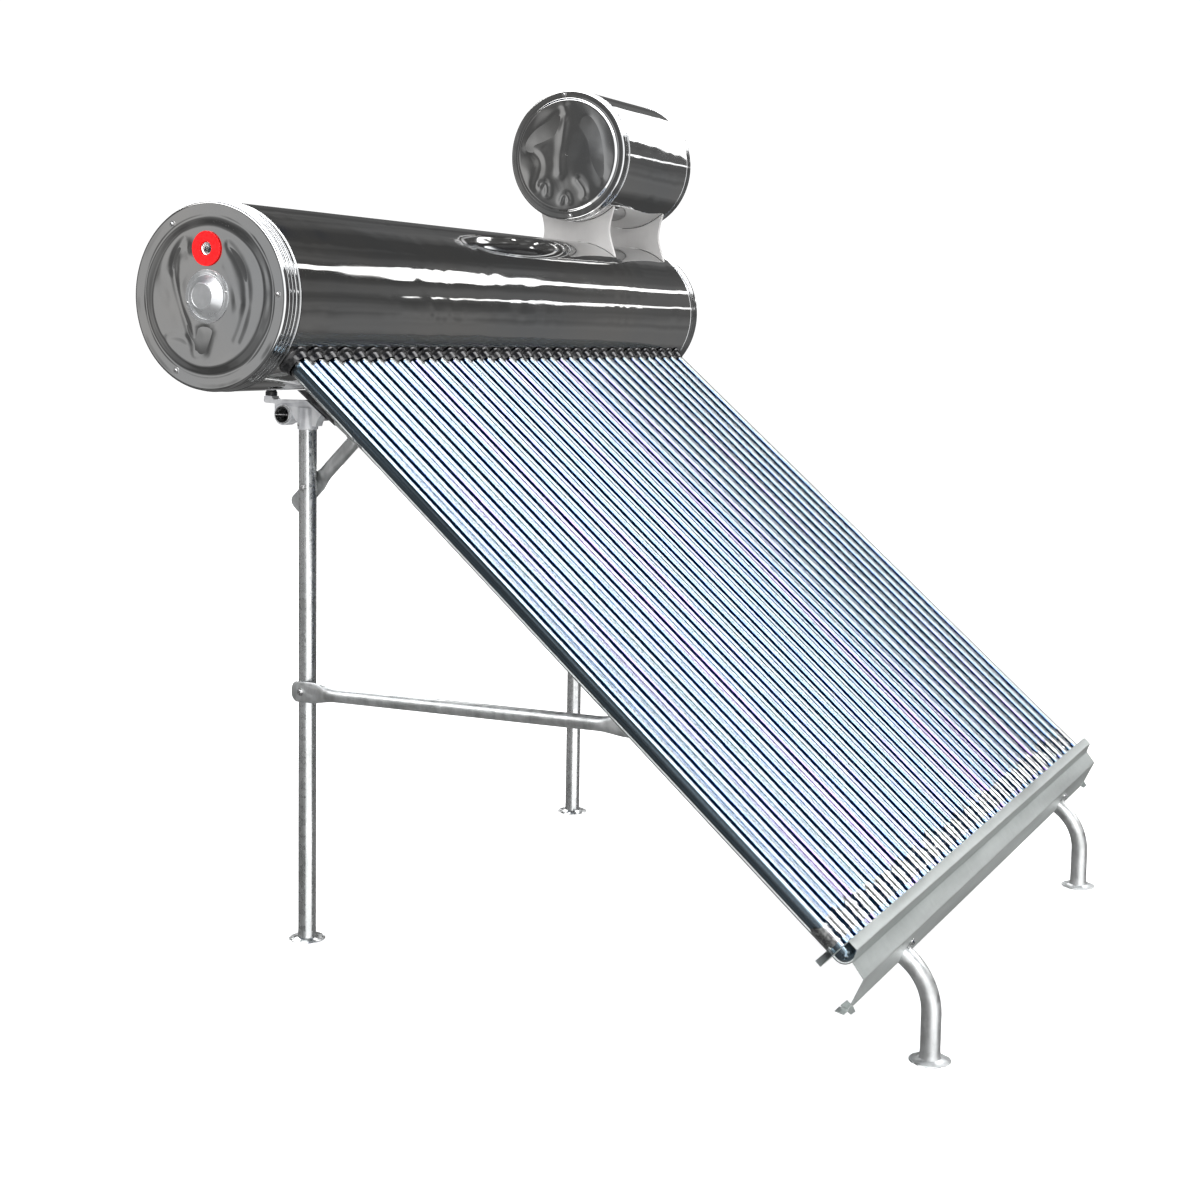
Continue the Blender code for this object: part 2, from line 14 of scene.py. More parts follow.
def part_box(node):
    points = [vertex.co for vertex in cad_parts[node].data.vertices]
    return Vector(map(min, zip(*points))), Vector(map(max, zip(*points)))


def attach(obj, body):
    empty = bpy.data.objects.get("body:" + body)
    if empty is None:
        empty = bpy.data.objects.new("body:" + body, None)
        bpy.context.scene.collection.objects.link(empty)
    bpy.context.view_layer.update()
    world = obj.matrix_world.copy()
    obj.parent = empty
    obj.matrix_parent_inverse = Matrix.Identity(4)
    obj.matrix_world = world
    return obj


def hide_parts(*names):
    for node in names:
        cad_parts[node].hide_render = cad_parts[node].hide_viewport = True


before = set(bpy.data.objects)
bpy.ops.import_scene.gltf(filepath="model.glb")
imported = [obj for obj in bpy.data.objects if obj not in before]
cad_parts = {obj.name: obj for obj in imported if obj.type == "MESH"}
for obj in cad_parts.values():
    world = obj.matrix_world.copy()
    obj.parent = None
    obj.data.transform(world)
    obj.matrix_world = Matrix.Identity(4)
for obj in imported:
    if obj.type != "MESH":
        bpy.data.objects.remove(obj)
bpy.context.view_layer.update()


# ---- places and sizes, read from the frame ------------------------------------------------
def middle(node):
    """The middle of a CAD node's box, as three numbers."""
    return [(low + high) / 2 for low, high in zip(*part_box(node))]


shell_lo, shell_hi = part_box("tank_shell")
TANK = Vector(middle("tank_shell"))                   # a point on the main tank's axis
TANK_R = (shell_hi.z - shell_lo.z) / 2
FACE_NEAR, FACE_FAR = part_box("end_cap_left")[0].x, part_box("end_cap_right")[1].x
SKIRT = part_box("end_cap_left")[1].x - FACE_NEAR       # how far a cap reaches over the shell

feeder_lo, feeder_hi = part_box("feeder_tank_shell")
FEEDER = Vector(middle("feeder_tank_shell"))
FEEDER_R = (feeder_hi.z - feeder_lo.z) / 2
FEEDER_NEAR, FEEDER_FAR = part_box("feeder_cap_left")[0].x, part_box("feeder_cap_right")[1].x
FEEDER_SKIRT = feeder_lo.x - FEEDER_NEAR

TUBE_COUNT = 36
TUBE_NODES = [f"evacuated_tube_{i + 1:02d}" for i in range(TUBE_COUNT)]
TUBE_X = [middle(node)[0] for node in TUBE_NODES]
TUBE_R = 0.029
TILT = math.radians(40.4)                             # slope of the tubes
TUBE_TOP, TUBE_TAIL = 0.102, 2.202                    # along a tube, from the tank's axis
PORT_R = 0.0525

OUTLET = Vector((FACE_NEAR, *middle("outlet_seal_ring")[1:]))
OUTLET_R, OUTLET_BORE = 0.0167, 0.0120

HANDS = ("left", "right")
LEG_R = 0.024                                         # also the rails and the cross tube
LEG_WALL = 0.002
RAIL_SLOPE = math.atan2(3, 4)
RAIL_BEND_R = 0.155
RAIL_Y, RAIL_Z = TANK.y - 0.018, 1.496                # a point on the rails' axes
BRACE_R = 0.019

ALONG_X = (0, math.pi / 2, 0)
ALONG_MINUS_X = (0, -math.pi / 2, 0)
DOWN_SLOPE = (math.pi / 2 + TILT, 0, 0)               # own Z down the tubes, own Y out of them


# ---- mesh code ----------------------------------------------------------------------------
def make_object(name, mesh, location=(0, 0, 0), turn=(0, 0, 0)):
    mesh.name = name
    piece = bpy.data.objects.new(name, mesh)
    piece.location = location
    piece.rotation_euler = turn
    bpy.context.scene.collection.objects.link(piece)
    return piece


def finished(piece, material, replaces=(), body="root"):
    """Give a piece its material and the body it rides on."""
    piece.data.materials.clear()
    piece.data.materials.append(material)
    if replaces:
        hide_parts(*replaces)
    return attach(piece, body)


def add(name, mesh, material, replaces=(), location=(0, 0, 0), turn=(0, 0, 0), body="root"):
    """A finished piece from a mesh that needs no more work."""
    return finished(make_object(name, mesh, location, turn), material, replaces, body)


def smooth(mesh, angle=35):
    mesh.shade_smooth()
    mesh.set_sharp_from_angle(angle=math.radians(angle))
    return mesh


def tidy_mesh(mesh, angle=35):
    """Merge poles, drop loose edges, face every side outwards and shade smooth."""
    bm = bmesh.new()
    bm.from_mesh(mesh)
    bmesh.ops.remove_doubles(bm, verts=bm.verts, dist=1e-6)
    bmesh.ops.delete(bm, geom=[e for e in bm.edges if not e.link_faces], context="EDGES")
    bmesh.ops.recalc_face_normals(bm, faces=bm.faces)
    bm.to_mesh(mesh)
    bm.free()
    return smooth(mesh, angle)


def skin(rows, around=True, along=False, angle=35, finish=True):
    """Quads over a grid of points, joined around each row and, if asked, last row to first."""
    grid = np.asarray(rows, float)
    count, width = grid.shape[:2]
    index = np.arange(count * width).reshape(count, width)
    if around:
        index = np.hstack((index, index[:, :1]))
    if along:
        index = np.vstack((index, index[:1]))
    quads = np.stack((index[:-1, :-1], index[:-1, 1:], index[1:, 1:], index[1:, :-1]), axis=-1)
    mesh = bpy.data.meshes.new("skin")
    mesh.from_pydata(grid.reshape(-1, 3).tolist(), [], quads.reshape(-1, 4).tolist())
    return tidy_mesh(mesh, angle) if finish else mesh


def join_meshes(meshes, placements=None, angle=35):
    """One mesh from several, each moved by its own matrix; 'shade' numbers them from 0 to 1."""
    placements = placements or [Matrix.Identity(4)] * len(meshes)
    bm = bmesh.new()
    shade = bm.verts.layers.float.new("shade")
    for number, (mesh, placement) in enumerate(zip(meshes, placements)):
        start = len(bm.verts)
        bm.from_mesh(mesh)
        bm.verts.ensure_lookup_table()
        fresh = bm.verts[start:]
        bmesh.ops.transform(bm, matrix=placement, verts=fresh)
        tone = (number * 0.618034) % 1.0
        for vert in fresh:
            vert[shade] = tone
    joined = bpy.data.meshes.new("joined")
    bm.to_mesh(joined)
    bm.free()
    return smooth(joined, angle)


def full_turn(sides):
    return 2 * math.pi * np.arange(sides) / sides


def loop(radii, z, sides):
    """Points around Z at one radius, or at one radius for each side."""
    angles = full_turn(sides)
    return np.stack((radii * np.cos(angles), radii * np.sin(angles), np.full(sides, z)), axis=1)


def turned(profile, sides, angle=35):
    """Turn a closed outline of (radius, z) points about Z."""
    return skin([loop(r, z, sides) for r, z in profile], along=True, angle=angle)


def rod(radius, length, sides=32):
    return turned([(0, 0), (radius, 0), (radius, length), (0, length)], sides)


def arc(centre, radius, start, stop, steps):
    """Points of a round in an outline, angles in degrees from its first axis to its second."""
    angles = [math.radians(start + (stop - start) * i / steps) for i in range(steps + 1)]
    return [(centre[0] + radius * math.cos(a), centre[1] + radius * math.sin(a)) for a in angles]


def extruded(outline, x_low, x_high, angle=35):
    """Stretch a closed outline of (y, z) points from x_low to x_high."""
    bm = bmesh.new()
    low = [bm.verts.new((x_low, y, z)) for y, z in outline]
    high = [bm.verts.new((x_high, y, z)) for y, z in outline]
    bm.faces.new(low)
    bm.faces.new(high)
    for i in range(len(outline)):
        j = (i + 1) % len(outline)
        bm.faces.new((low[i], low[j], high[j], high[i]))
    bmesh.ops.recalc_face_normals(bm, faces=bm.faces)
    mesh = bpy.data.meshes.new("extruded")
    bm.to_mesh(mesh)
    bm.free()
    return smooth(mesh, angle)


def apply_modifiers(piece):
    depsgraph = bpy.context.evaluated_depsgraph_get()
    made = bpy.data.meshes.new_from_object(piece.evaluated_get(depsgraph))
    piece.modifiers.clear()
    piece.data = made


def boolean(piece, cutter, location=(0, 0, 0), turn=(0, 0, 0), operation="DIFFERENCE"):
    """Cut or join with a guide solid and keep the result in the piece's own mesh."""
    guide = make_object("guide", cutter, location, turn)
    guide.hide_render = True
    step = piece.modifiers.new("cut", "BOOLEAN")
    step.operation = operation
    step.solver = "MANIFOLD"
    step.object = guide
    apply_modifiers(piece)
    bpy.data.objects.remove(guide)


def rounded(piece, width, angle=30):
    """Bevel the sharp edges."""
    bevel = piece.modifiers.new("edges", "BEVEL")
    bevel.width = width
    bevel.segments = 2
    bevel.limit_method = "ANGLE"
    bevel.angle_limit = math.radians(angle)
    bevel.harden_normals = True
    apply_modifiers(piece)


# ---- materials ----------------------------------------------------------------------------
class Nodes:
    """A node tree with a few short ways to add to it."""

    def __init__(self, tree):
        self.tree = tree

    def node(self, kind, inputs=None, **settings):
        made = self.tree.nodes.new(kind)
        for key, value in settings.items():
            setattr(made, key, value)
        for key, value in (inputs or {}).items():
            if isinstance(value, bpy.types.NodeSocket):
                self.tree.links.new(value, made.inputs[key])
            else:
                made.inputs[key].default_value = value
        return made

    def span(self, value, low, high, to_low=0.0, to_high=1.0, kind="LINEAR"):
        made = self.node("ShaderNodeMapRange", {"Value": value, "From Min": low, "From Max": high,
                                                "To Min": to_low, "To Max": to_high},
                         interpolation_type=kind)
        return made.outputs["Result"]

    def maths(self, operation, first, second=0.0):
        made = self.node("ShaderNodeMath", {0: first, 1: second}, operation=operation)
        return made.outputs["Value"]


class Finish(Nodes):
    """A material, with short ways to lead nodes into its shader."""

    def __init__(self, name, colour, roughness, metallic=0.0, **sockets):
        self.material = bpy.data.materials.new(name)
        self.material.use_nodes = True
        super().__init__(self.material.node_tree)
        self.shader = self.tree.nodes["Principled BSDF"]
        self.shader.inputs["Base Color"].default_value = (*colour, 1)
        self.shader.inputs["Roughness"].default_value = roughness
        self.shader.inputs["Metallic"].default_value = metallic
        for key, value in sockets.items():
            self.shader.inputs[key.replace("_", " ")].default_value = value

    def place(self, stretch=(1, 1, 1)):
        """Object coordinates, stretched along an axis for grain, brushing or streaks."""
        coordinates = self.node("ShaderNodeTexCoord").outputs["Object"]
        mapping = self.node("ShaderNodeMapping", {"Vector": coordinates, "Scale": stretch})
        return mapping.outputs["Vector"]

    def noise(self, scale, detail=4.0, where=None, rough=0.55, distortion=0.0):
        made = self.node("ShaderNodeTexNoise", {"Scale": scale, "Detail": detail,
                                                "Roughness": rough, "Distortion": distortion,
                                                "Vector": where or self.place()})
        return made.outputs["Fac"]

    def cells(self, scale, output):
        made = self.node("ShaderNodeTexVoronoi", {"Scale": scale, "Vector": self.place()})
        return made.outputs[output]

    def flakes(self, scale, channel):
        """One random value for each cell."""
        parts = self.node("ShaderNodeSeparateColor", {"Color": self.cells(scale, "Color")})
        return parts.outputs[channel]

    def blend(self, factor, first, second):
        made = self.node("ShaderNodeMix", data_type="RGBA", blend_type="MIX")
        for key, value in ((0, factor), (6, first), (7, second)):
            if isinstance(value, bpy.types.NodeSocket):
                self.tree.links.new(value, made.inputs[key])
            else:
                made.inputs[key].default_value = (*value, 1)
        return made.outputs[2]

    def patchy(self, field, low, high, first, second):
        """The base colour: from one tone to another where the field rises from low to high."""
        return self.blend(self.span(field, low, high), first, second)

    def colour(self, socket):
        self.tree.links.new(socket, self.shader.inputs["Base Color"])

    def roughness(self, field, low, high, least, most):
        socket = self.span(field, low, high, least, most)
        self.tree.links.new(socket, self.shader.inputs["Roughness"])

    def bump(self, height, distance, strength=1.0, after=None):
        inputs = {"Height": height, "Distance": distance, "Strength": strength}
        if after is not None:
            inputs["Normal"] = after
        made = self.node("ShaderNodeBump", inputs).outputs["Normal"]
        self.tree.links.new(made, self.shader.inputs["Normal"])
        return made


def worn_edges(finish, base, bright, amount=0.5):
    """Lighter colour along edges, from how sharply the surface turns."""
    sharp = finish.node("ShaderNodeNewGeometry").outputs["Pointiness"]
    return finish.blend(finish.span(sharp, 0.52, 0.60, 0.0, amount), base, bright)


def mirror_steel(name, tone, wave, rough, size=2.6):
    """Polished stainless sheet: faint smears, fine polishing lines and slack-sheet waves."""
    steel = Finish(name, (tone, tone, tone), 0.06, 1.0)
    steel.roughness(steel.noise(5.0, 5.0, distortion=0.6), 0.35, 0.70, *rough)
    warm = (tone * 1.02, tone * 1.0, tone * 0.97)
    cool = (tone * 0.90, tone * 0.92, tone * 0.94)
    steel.colour(steel.patchy(steel.noise(2.2, 3.0), 0.3, 0.7, warm, cool))
    lines = steel.noise(90.0, 2.0, steel.place((1, 1, 14)))
    fine = steel.bump(lines, 0.00002, 0.25)
    steel.bump(steel.noise(size, 2.0, distortion=0.8), wave, 1.0, fine)
    return steel.material


def galvanised(name, tone, spangle, rough, drip):
    """Hot-dip zinc: spangle, drips along the length, duller patches."""
    zinc = Finish(name, (tone, tone, tone), 0.3, 0.92)
    flakes = zinc.flakes(spangle, "Red")
    drips = zinc.noise(22.0, 5.0, zinc.place((1, 1, drip)), 0.65, 0.4)
    patches = zinc.noise(9.0, 4.0, rough=0.6)
    dull = (tone * 1.00, tone * 1.03, tone * 1.03)
    bright = (tone * 1.62, tone * 1.64, tone * 1.65)
    base = zinc.patchy(drips, 0.35, 0.68, dull, bright)
    base = zinc.blend(zinc.span(flakes, 0.0, 1.0, 0.0, 0.22), base, (0.86, 0.88, 0.88))
    base = zinc.blend(zinc.span(patches, 0.56, 0.72, 0.0, 0.45), base, (0.30, 0.30, 0.28))
    zinc.colour(base)
    zinc.roughness(flakes, 0.0, 1.0, *rough)
    fine = zinc.bump(flakes, 0.00012, 0.24)
    zinc.bump(drips, 0.0008, 0.30, fine)
    return zinc.material


def cast_metal():
    """Light die casting with a sandy skin and rubbed edges."""
    cast = Finish("cast_metal", (0.62, 0.63, 0.65), 0.45, 0.65)
    clouds = cast.noise(28.0, 5.0)
    base = cast.patchy(clouds, 0.3, 0.7, (0.50, 0.51, 0.54), (0.78, 0.79, 0.81))
    cast.colour(worn_edges(cast, base, (0.92, 0.92, 0.93)))
    cast.roughness(clouds, 0.3, 0.7, 0.36, 0.55)
    fine = cast.bump(cast.noise(700.0, 2.0), 0.00015, 0.6)
    cast.bump(cast.noise(60.0, 3.0), 0.0008, 0.5, fine)
    return cast.material


def saddle_sheet():
    """Satin sheet that picks up a soft even light."""
    sheet = Finish("saddle_sheet", (0.56, 0.55, 0.54), 0.45, 0.25)
    base = sheet.patchy(sheet.noise(7.0, 4.0), 0.3, 0.7, (0.55, 0.54, 0.535), (0.65, 0.64, 0.63))
    sheet.colour(worn_edges(sheet, base, (0.90, 0.90, 0.89)))
    brushed = sheet.noise(160.0, 3.0, sheet.place((1, 1, 0.05)))
    sheet.roughness(brushed, 0.3, 0.7, 0.42, 0.60)
    sheet.bump(brushed, 0.00008, 0.5)
    return sheet.material


def channel_sheet():
    """Grey-green zinc-coated sheet with rolling streaks and a few scuffs."""
    sheet = Finish("channel_sheet", (0.44, 0.48, 0.48), 0.4, 0.75)
    streaks = sheet.noise(14.0, 5.0, sheet.place((0.10, 1, 1)), 0.6)
    flakes = sheet.flakes(55.0, "Green")
    base = sheet.patchy(streaks, 0.3, 0.7, (0.20, 0.235, 0.23), (0.40, 0.44, 0.43))
    base = sheet.blend(sheet.span(flakes, 0.0, 1.0, 0.0, 0.14), base, (0.62, 0.66, 0.65))
    scuffs = sheet.span(sheet.noise(34.0, 6.0, rough=0.7), 0.64, 0.74, 0.0, 0.5)
    base = sheet.blend(scuffs, base, (0.26, 0.28, 0.27))
    sheet.colour(worn_edges(sheet, base, (0.82, 0.84, 0.83)))
    sheet.roughness(streaks, 0.3, 0.7, 0.30, 0.48)
    sheet.bump(streaks, 0.0004, 0.5)
    return sheet.material


def rubber(name, tone, rough):
    """Black moulded rubber with dust in its texture."""
    black = Finish(name, (tone, tone, tone), 0.3)
    dust = black.noise(55.0, 5.0)
    black.colour(black.blend(black.span(dust, 0.45, 0.75, 0.0, 0.4), (tone, tone, tone * 1.1),
                             (0.07, 0.07, 0.07)))
    black.roughness(dust, 0.3, 0.7, *rough)
    black.bump(black.noise(600.0, 2.0), 0.00012, 0.5)
    return black.material


def red_silicone():
    red = Finish("red_silicone", (0.85, 0.012, 0.012), 0.35, Specular_IOR_Level=0.25)
    mottled = red.noise(120.0, 3.0)
    red.colour(red.patchy(mottled, 0.3, 0.7, (0.86, 0.003, 0.006), (0.97, 0.010, 0.012)))
    red.roughness(mottled, 0.3, 0.7, 0.30, 0.48)
    red.bump(red.noise(500.0, 2.0), 0.0001, 0.4)
    return red.material


def satin_cover():
    """Silver-grey satin cover with a fine grain and worn edges."""
    cover = Finish("cover_satin", (0.56, 0.57, 0.58), 0.30, 0.75)
    clouds = cover.noise(30.0, 4.0)
    base = cover.patchy(clouds, 0.3, 0.7, (0.50, 0.51, 0.52), (0.64, 0.65, 0.66))
    cover.colour(worn_edges(cover, base, (0.85, 0.86, 0.87), 0.8))
    cover.roughness(clouds, 0.3, 0.7, 0.26, 0.36)
    cover.bump(cover.noise(900.0, 2.0), 0.00006, 0.5)
    return cover.material


def bright_metal(name, tone, rough):
    """Plated fasteners and fittings with fine tool marks."""
    metal = Finish(name, (tone, tone, tone * 0.98), rough, 1.0)
    marks = metal.noise(240.0, 3.0)
    metal.colour(metal.patchy(marks, 0.3, 0.7, (tone * 0.85,) * 3, (tone * 1.05,) * 3))
    metal.roughness(marks, 0.3, 0.7, rough * 0.7, rough * 1.4)
    metal.bump(marks, 0.00008, 0.4)
    return metal.material


def outer_glass():
    """Clear borosilicate with the faintest film of dust."""
    glass = Finish("outer_glass", (0.96, 0.99, 0.98), 0.0, 0.0, Transmission_Weight=1.0, IOR=1.47)
    film = glass.noise(14.0, 5.0, glass.place((1, 1, 0.3)))
    glass.roughness(film, 0.45, 0.75, 0.0, 0.012)
    glass.colour(glass.patchy(film, 0.4, 0.8, (0.97, 0.99, 0.99), (0.90, 0.94, 0.93)))
    return glass.material


def absorber_coating():
    """Selective coating, blue-black with a shift to violet that differs from tube to tube."""
    coat = Finish("absorber_coating", (0.2, 0.3, 0.5), 0.04, 1.0)
    tone = coat.node("ShaderNodeAttribute", attribute_name="shade").outputs["Fac"]
    mix = coat.maths("ADD", coat.span(tone, 0.0, 1.0, -0.45, 0.45), coat.noise(1.6, 3.0))
    base = coat.patchy(mix, 0.20, 0.60, (0.19, 0.26, 0.33), (0.18, 0.25, 0.42))
    coat.colour(coat.patchy(mix, 0.70, 0.95, base, (0.30, 0.22, 0.44)))
    coat.roughness(coat.noise(30.0, 3.0), 0.3, 0.7, 0.01, 0.025)
    return coat.material


def getter_mirror():
    """Barium mirror flashed on the glass near the tail: silvery and wobbly."""
    silver = Finish("getter_mirror", (0.60, 0.58, 0.56), 0.08, 1.0)
    patches = silver.noise(60.0, 5.0, distortion=1.0)
    silver.colour(silver.patchy(patches, 0.40, 0.62, (0.22, 0.20, 0.22), (0.72, 0.70, 0.69)))
    silver.roughness(patches, 0.3, 0.7, 0.04, 0.14)
    silver.bump(silver.noise(45.0, 3.0, distortion=1.5), 0.002, 0.6)
    return silver.material


def foam():
    """Cream polyurethane foam with open cells where it was cut."""
    cream = Finish("cut_foam", (0.72, 0.60, 0.36), 0.9)
    cells = cream.cells(420.0, "Distance")
    cream.colour(cream.patchy(cells, 0.0, 0.6, (0.52, 0.40, 0.20), (0.80, 0.68, 0.44)))
    cream.bump(cells, 0.0012, 1.0)
    return cream.material


def floor_material():
    ground = Finish("pale_floor", (0.92, 0.92, 0.92), 0.9, Specular_IOR_Level=0.1,
                    Emission_Color=(1, 1, 1, 1), Emission_Strength=0.62)
    ground.colour(ground.patchy(ground.noise(3.0, 3.0), 0.3, 0.7, (0.91,) * 3, (0.93,) * 3))
    return ground.material


MIRROR_SHELL = mirror_steel("mirror_shell", 0.62, 0.0035, (0.02, 0.07))
MIRROR_CAP = mirror_steel("mirror_cap", 0.60, 0.0012, (0.04, 0.08), 5.0)
LINER = mirror_steel("liner_steel", 0.55, 0.0010, (0.25, 0.40))
ZINC = galvanised("galvanised_tube", 0.50, 90.0, (0.17, 0.36), 0.12)
SOFT_ZINC = galvanised("galvanised_rail", 0.46, 70.0, (0.36, 0.52), 0.3)
CAST = cast_metal()
SADDLE = saddle_sheet()
CHANNEL = channel_sheet()
RUBBER = rubber("black_rubber", 0.012, (0.22, 0.42))
GLOSSY_RUBBER = rubber("dust_ring_rubber", 0.008, (0.12, 0.28))
RED = red_silicone()
COVER = satin_cover()
CHROME = bright_metal("chrome_fitting", 0.78, 0.12)
FASTENER = bright_metal("plated_fastener", 0.66, 0.24)
GLASS = outer_glass()
ABSORBER = absorber_coating()
GETTER = getter_mirror()
FOAM = foam()


# ---- tanks --------------------------------------------------------------------------------
def jacket(radius, half_length, rows, sides, dimples=()):
    """Rolled sheet around a tank; it hangs slightly slack between its ends.

    dimples holds (x, angle, reach, depth) of places where the sheet is pulled in.
    """
    sheet = 0.001
    angles = full_turn(sides)
    rings = []
    for inset in (0.0, sheet):
        for step in range(rows + 1):
            part = step / rows
            z = -half_length + 2 * half_length * part
            slack = 0.0007 * math.sin(math.pi * part)
            radii = np.full(sides, radius - inset)
            for column, angle in enumerate(angles):
                place = Vector((math.cos(angle) * 1.3, math.sin(angle) * 1.3, z * 0.9))
                radii[column] += slack * noise.noise(place)
                for x, aim, reach, depth in dimples:
                    turn = (angle - aim + math.pi) % (2 * math.pi) - math.pi
                    far = math.hypot(z - x, turn * radius) / reach
                    if far < 3:
                        radii[column] -= depth * math.exp(-far * far) * math.cos(2.6 * far)
            rings.append(loop(radii, z, sides))
    return skin(rings[:rows + 1] + rings[:rows:-1], along=True)


def cap_outline(radius, skirt, hole, margin, run, beads):
    """Pressed cap with its face at z = 0: raised disc, slope of width run, rim, beaded skirt."""
    step, edge, depth, hem, sheet, spacing = 0.004, 0.007, 0.0018, 0.0022, 0.0012, 0.004
    disc = radius - margin
    flat = disc - 0.010
    side = radius - depth
    count = int((flat - hole) / spacing)
    outside = [(hole + (flat - hole) * i / count, 0.0) for i in range(count + 1)]
    fall = step + 0.0006
    outside += [(flat + run * i / 8, -fall * (i / 8) ** 2 * (3 - i / 4)) for i in range(1, 9)]
    foot = flat + run
    outside += [(foot + 0.0020, -fall + 0.0001), (foot + 0.0050, -step)]
    wide = radius - edge - 0.009 - foot
    outside += [(foot + 0.007 + wide * i / 5, -step) for i in range(6)]
    outside += arc((side - edge, -step - edge), edge, 88, 4, 8)
    for start, stop in beads:
        for i in range(9):
            bulge = depth * math.sin(math.pi * i / 8) ** 2
            outside.append((side + bulge, -(start + (stop - start) * i / 8)))
    outside += [(side, -(skirt - 0.010))]
    outside += arc((side + 0.0004, -(skirt - hem - 0.0008)), hem, 100, -80, 8)
    inside = [(side - 0.0025, -skirt + 0.0004), (side - 0.0025, -step - edge - sheet),
              (side - edge - sheet, -step - sheet - 0.0012), (disc + 0.002, -step - sheet - 0.0012),
              (disc - 0.012, -sheet - 0.0006), (hole + 0.0005, -sheet)]
    return outside + inside


def sweep(corners, steps=100):
    """Points on the Bezier curve through four (up, rear) corners."""
    p0, p1, p2, p3 = (np.array(c, float) for c in corners)
    t = np.linspace(0, 1, steps + 1)[:, None]
    return p0 * (1 - t) ** 3 + p1 * 3 * t * (1 - t) ** 2 + p2 * 3 * t * t * (1 - t) + p3 * t ** 3


def crumple(mesh, disc, depth, seed, creases=(), seats=()):
    """Dents and creases in a cap's face; it stays flat at its step and around its seats.

    creases holds (four corners as parts of the disc's radius, width, height), and seats holds
    (centre, radius) of what is fitted to the cap.
    """
    spots = np.array([vert.co.xy for vert in mesh.vertices])
    radius = np.linalg.norm(spots, axis=1)

    def lumps(scale, height):
        return np.array([noise.noise(Vector((x * scale, y * scale, seed))) * height
                         for x, y in spots])

    lift = lumps(6, depth)
    for corners, width, height in creases:
        path = sweep(corners) * disc
        gap = np.linalg.norm(spots[:, None] - path[None], axis=2).min(axis=1)
        lift += height * np.exp(-(gap / width) ** 2)
    lift *= np.clip(1 - (radius / disc) ** 8, 0, 1)
    rim = np.clip((radius - disc - 0.014) / 0.008, 0, 1)
    rim *= np.clip((radius.max() - 0.012 - radius) / 0.008, 0, 1)
    lift += rim * lumps(11, depth * 0.35)
    for centre, reach in seats:
        away = np.linalg.norm(spots - np.array(centre), axis=1)
        lift *= np.clip((away - reach) / 0.020, 0, 1)
    for vert, rise in zip(mesh.vertices, lift):
        if vert.co.z > -0.012:
            vert.co.z += rise


def end_cap(name, size, beads, dents, face, turn, centre):
    """size holds the cap's radius, skirt, hole, the disc's margin and the width of its slope."""
    mesh = turned(cap_outline(*size, beads), 240)
    crumple(mesh, size[0] - size[3], *dents)
    return make_object(name, mesh, (face, centre.y, centre.z), turn)


def cut_tube_holes(piece, clearance, start, length, sides):
    """Cut a hole for every tube; start and length run down the slope from the tank's axis."""
    holes = [rod(TUBE_R + clearance, length, sides)] * TUBE_COUNT
    places = [Matrix.Translation((x - TANK.x, 0, start)) for x in TUBE_X]
    boolean(piece, join_meshes(holes, places), TANK, DOWN_SLOPE)
    smooth(piece.data, 30)


def make_main_tank():
    half = (shell_hi.x - shell_lo.x) / 2
    rear_top = math.pi - 0.05
    dimples = [(0.60, rear_top, 0.030, 0.0009), (0.985, rear_top, 0.030, 0.0008),
               (-0.30, math.pi - math.radians(38), 0.012, 0.0003)]
    shell = make_object("tank_jacket", jacket(TANK_R, half, 150, 192, dimples), TANK, ALONG_X)
    cut_tube_holes(shell, 0.0012, 0.17, 0.12, 24)
    finished(shell, MIRROR_SHELL, ["tank_shell"])

    beads = ((0.017, 0.026), (0.031, 0.040), (0.045, 0.053))
    creases = [(((0.80, 0.40), (0.40, 0.80), (-0.10, 0.42), (-0.80, 0.22)), 0.010, -0.0013),
               (((-0.34, 0.05), (-0.45, 0.04), (-0.55, 0.08), (-0.72, 0.12)), 0.022, -0.0026),
               (((0.70, -0.36), (0.30, -0.80), (-0.20, -0.72), (-0.60, -0.50)), 0.014, -0.0014),
               (((-0.56, 0.70), (-0.52, 0.50), (-0.58, 0.30), (-0.76, 0.20)), 0.010, 0.0010),
               (((0.66, 0.36), (0.62, 0.52), (0.52, 0.60), (0.40, 0.62)), 0.020, -0.0018),
               (((0.50, -0.30), (0.20, -0.45), (0.05, -0.40), (-0.10, -0.55)), 0.024, 0.0014)]
    seats = [((0, 0), 0.066), ((OUTLET.z - TANK.z, OUTLET.y - TANK.y), 0.043)]
    margin, run = 0.056, 0.028
    near = end_cap("tank_end_near", (TANK_R, SKIRT, PORT_R, margin, run), beads,
                   (0.0036, 4.0, creases, seats), FACE_NEAR, ALONG_MINUS_X, TANK)
    boolean(near, rod(OUTLET_R + 0.0010, 0.06), OUTLET - Vector((0.03, 0, 0)), ALONG_X)
    smooth(near.data, 32)
    finished(near, MIRROR_CAP, ["end_cap_left"])
    far = end_cap("tank_end_far", (TANK_R, SKIRT, 0.0, margin, run), beads, (0.0042, 9.0),
                  FACE_FAR, ALONG_X, TANK)
    finished(far, MIRROR_CAP, ["end_cap_right"])
    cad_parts["inner_tank"].data.materials.clear()
    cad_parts["inner_tank"].data.materials.append(LINER)

    inner, outer = PORT_R + 0.0005, 0.080
    collar = turned([(inner, -0.0035), (outer, -0.0035), (outer, -0.058), (inner, -0.058)], 64)
    for vert in collar.vertices:
        vert.co *= 1 + 0.004 * abs(noise.noise(vert.co * 160))
    add("port_foam", collar, FOAM, (), (FACE_NEAR, TANK.y, TANK.z), ALONG_MINUS_X)


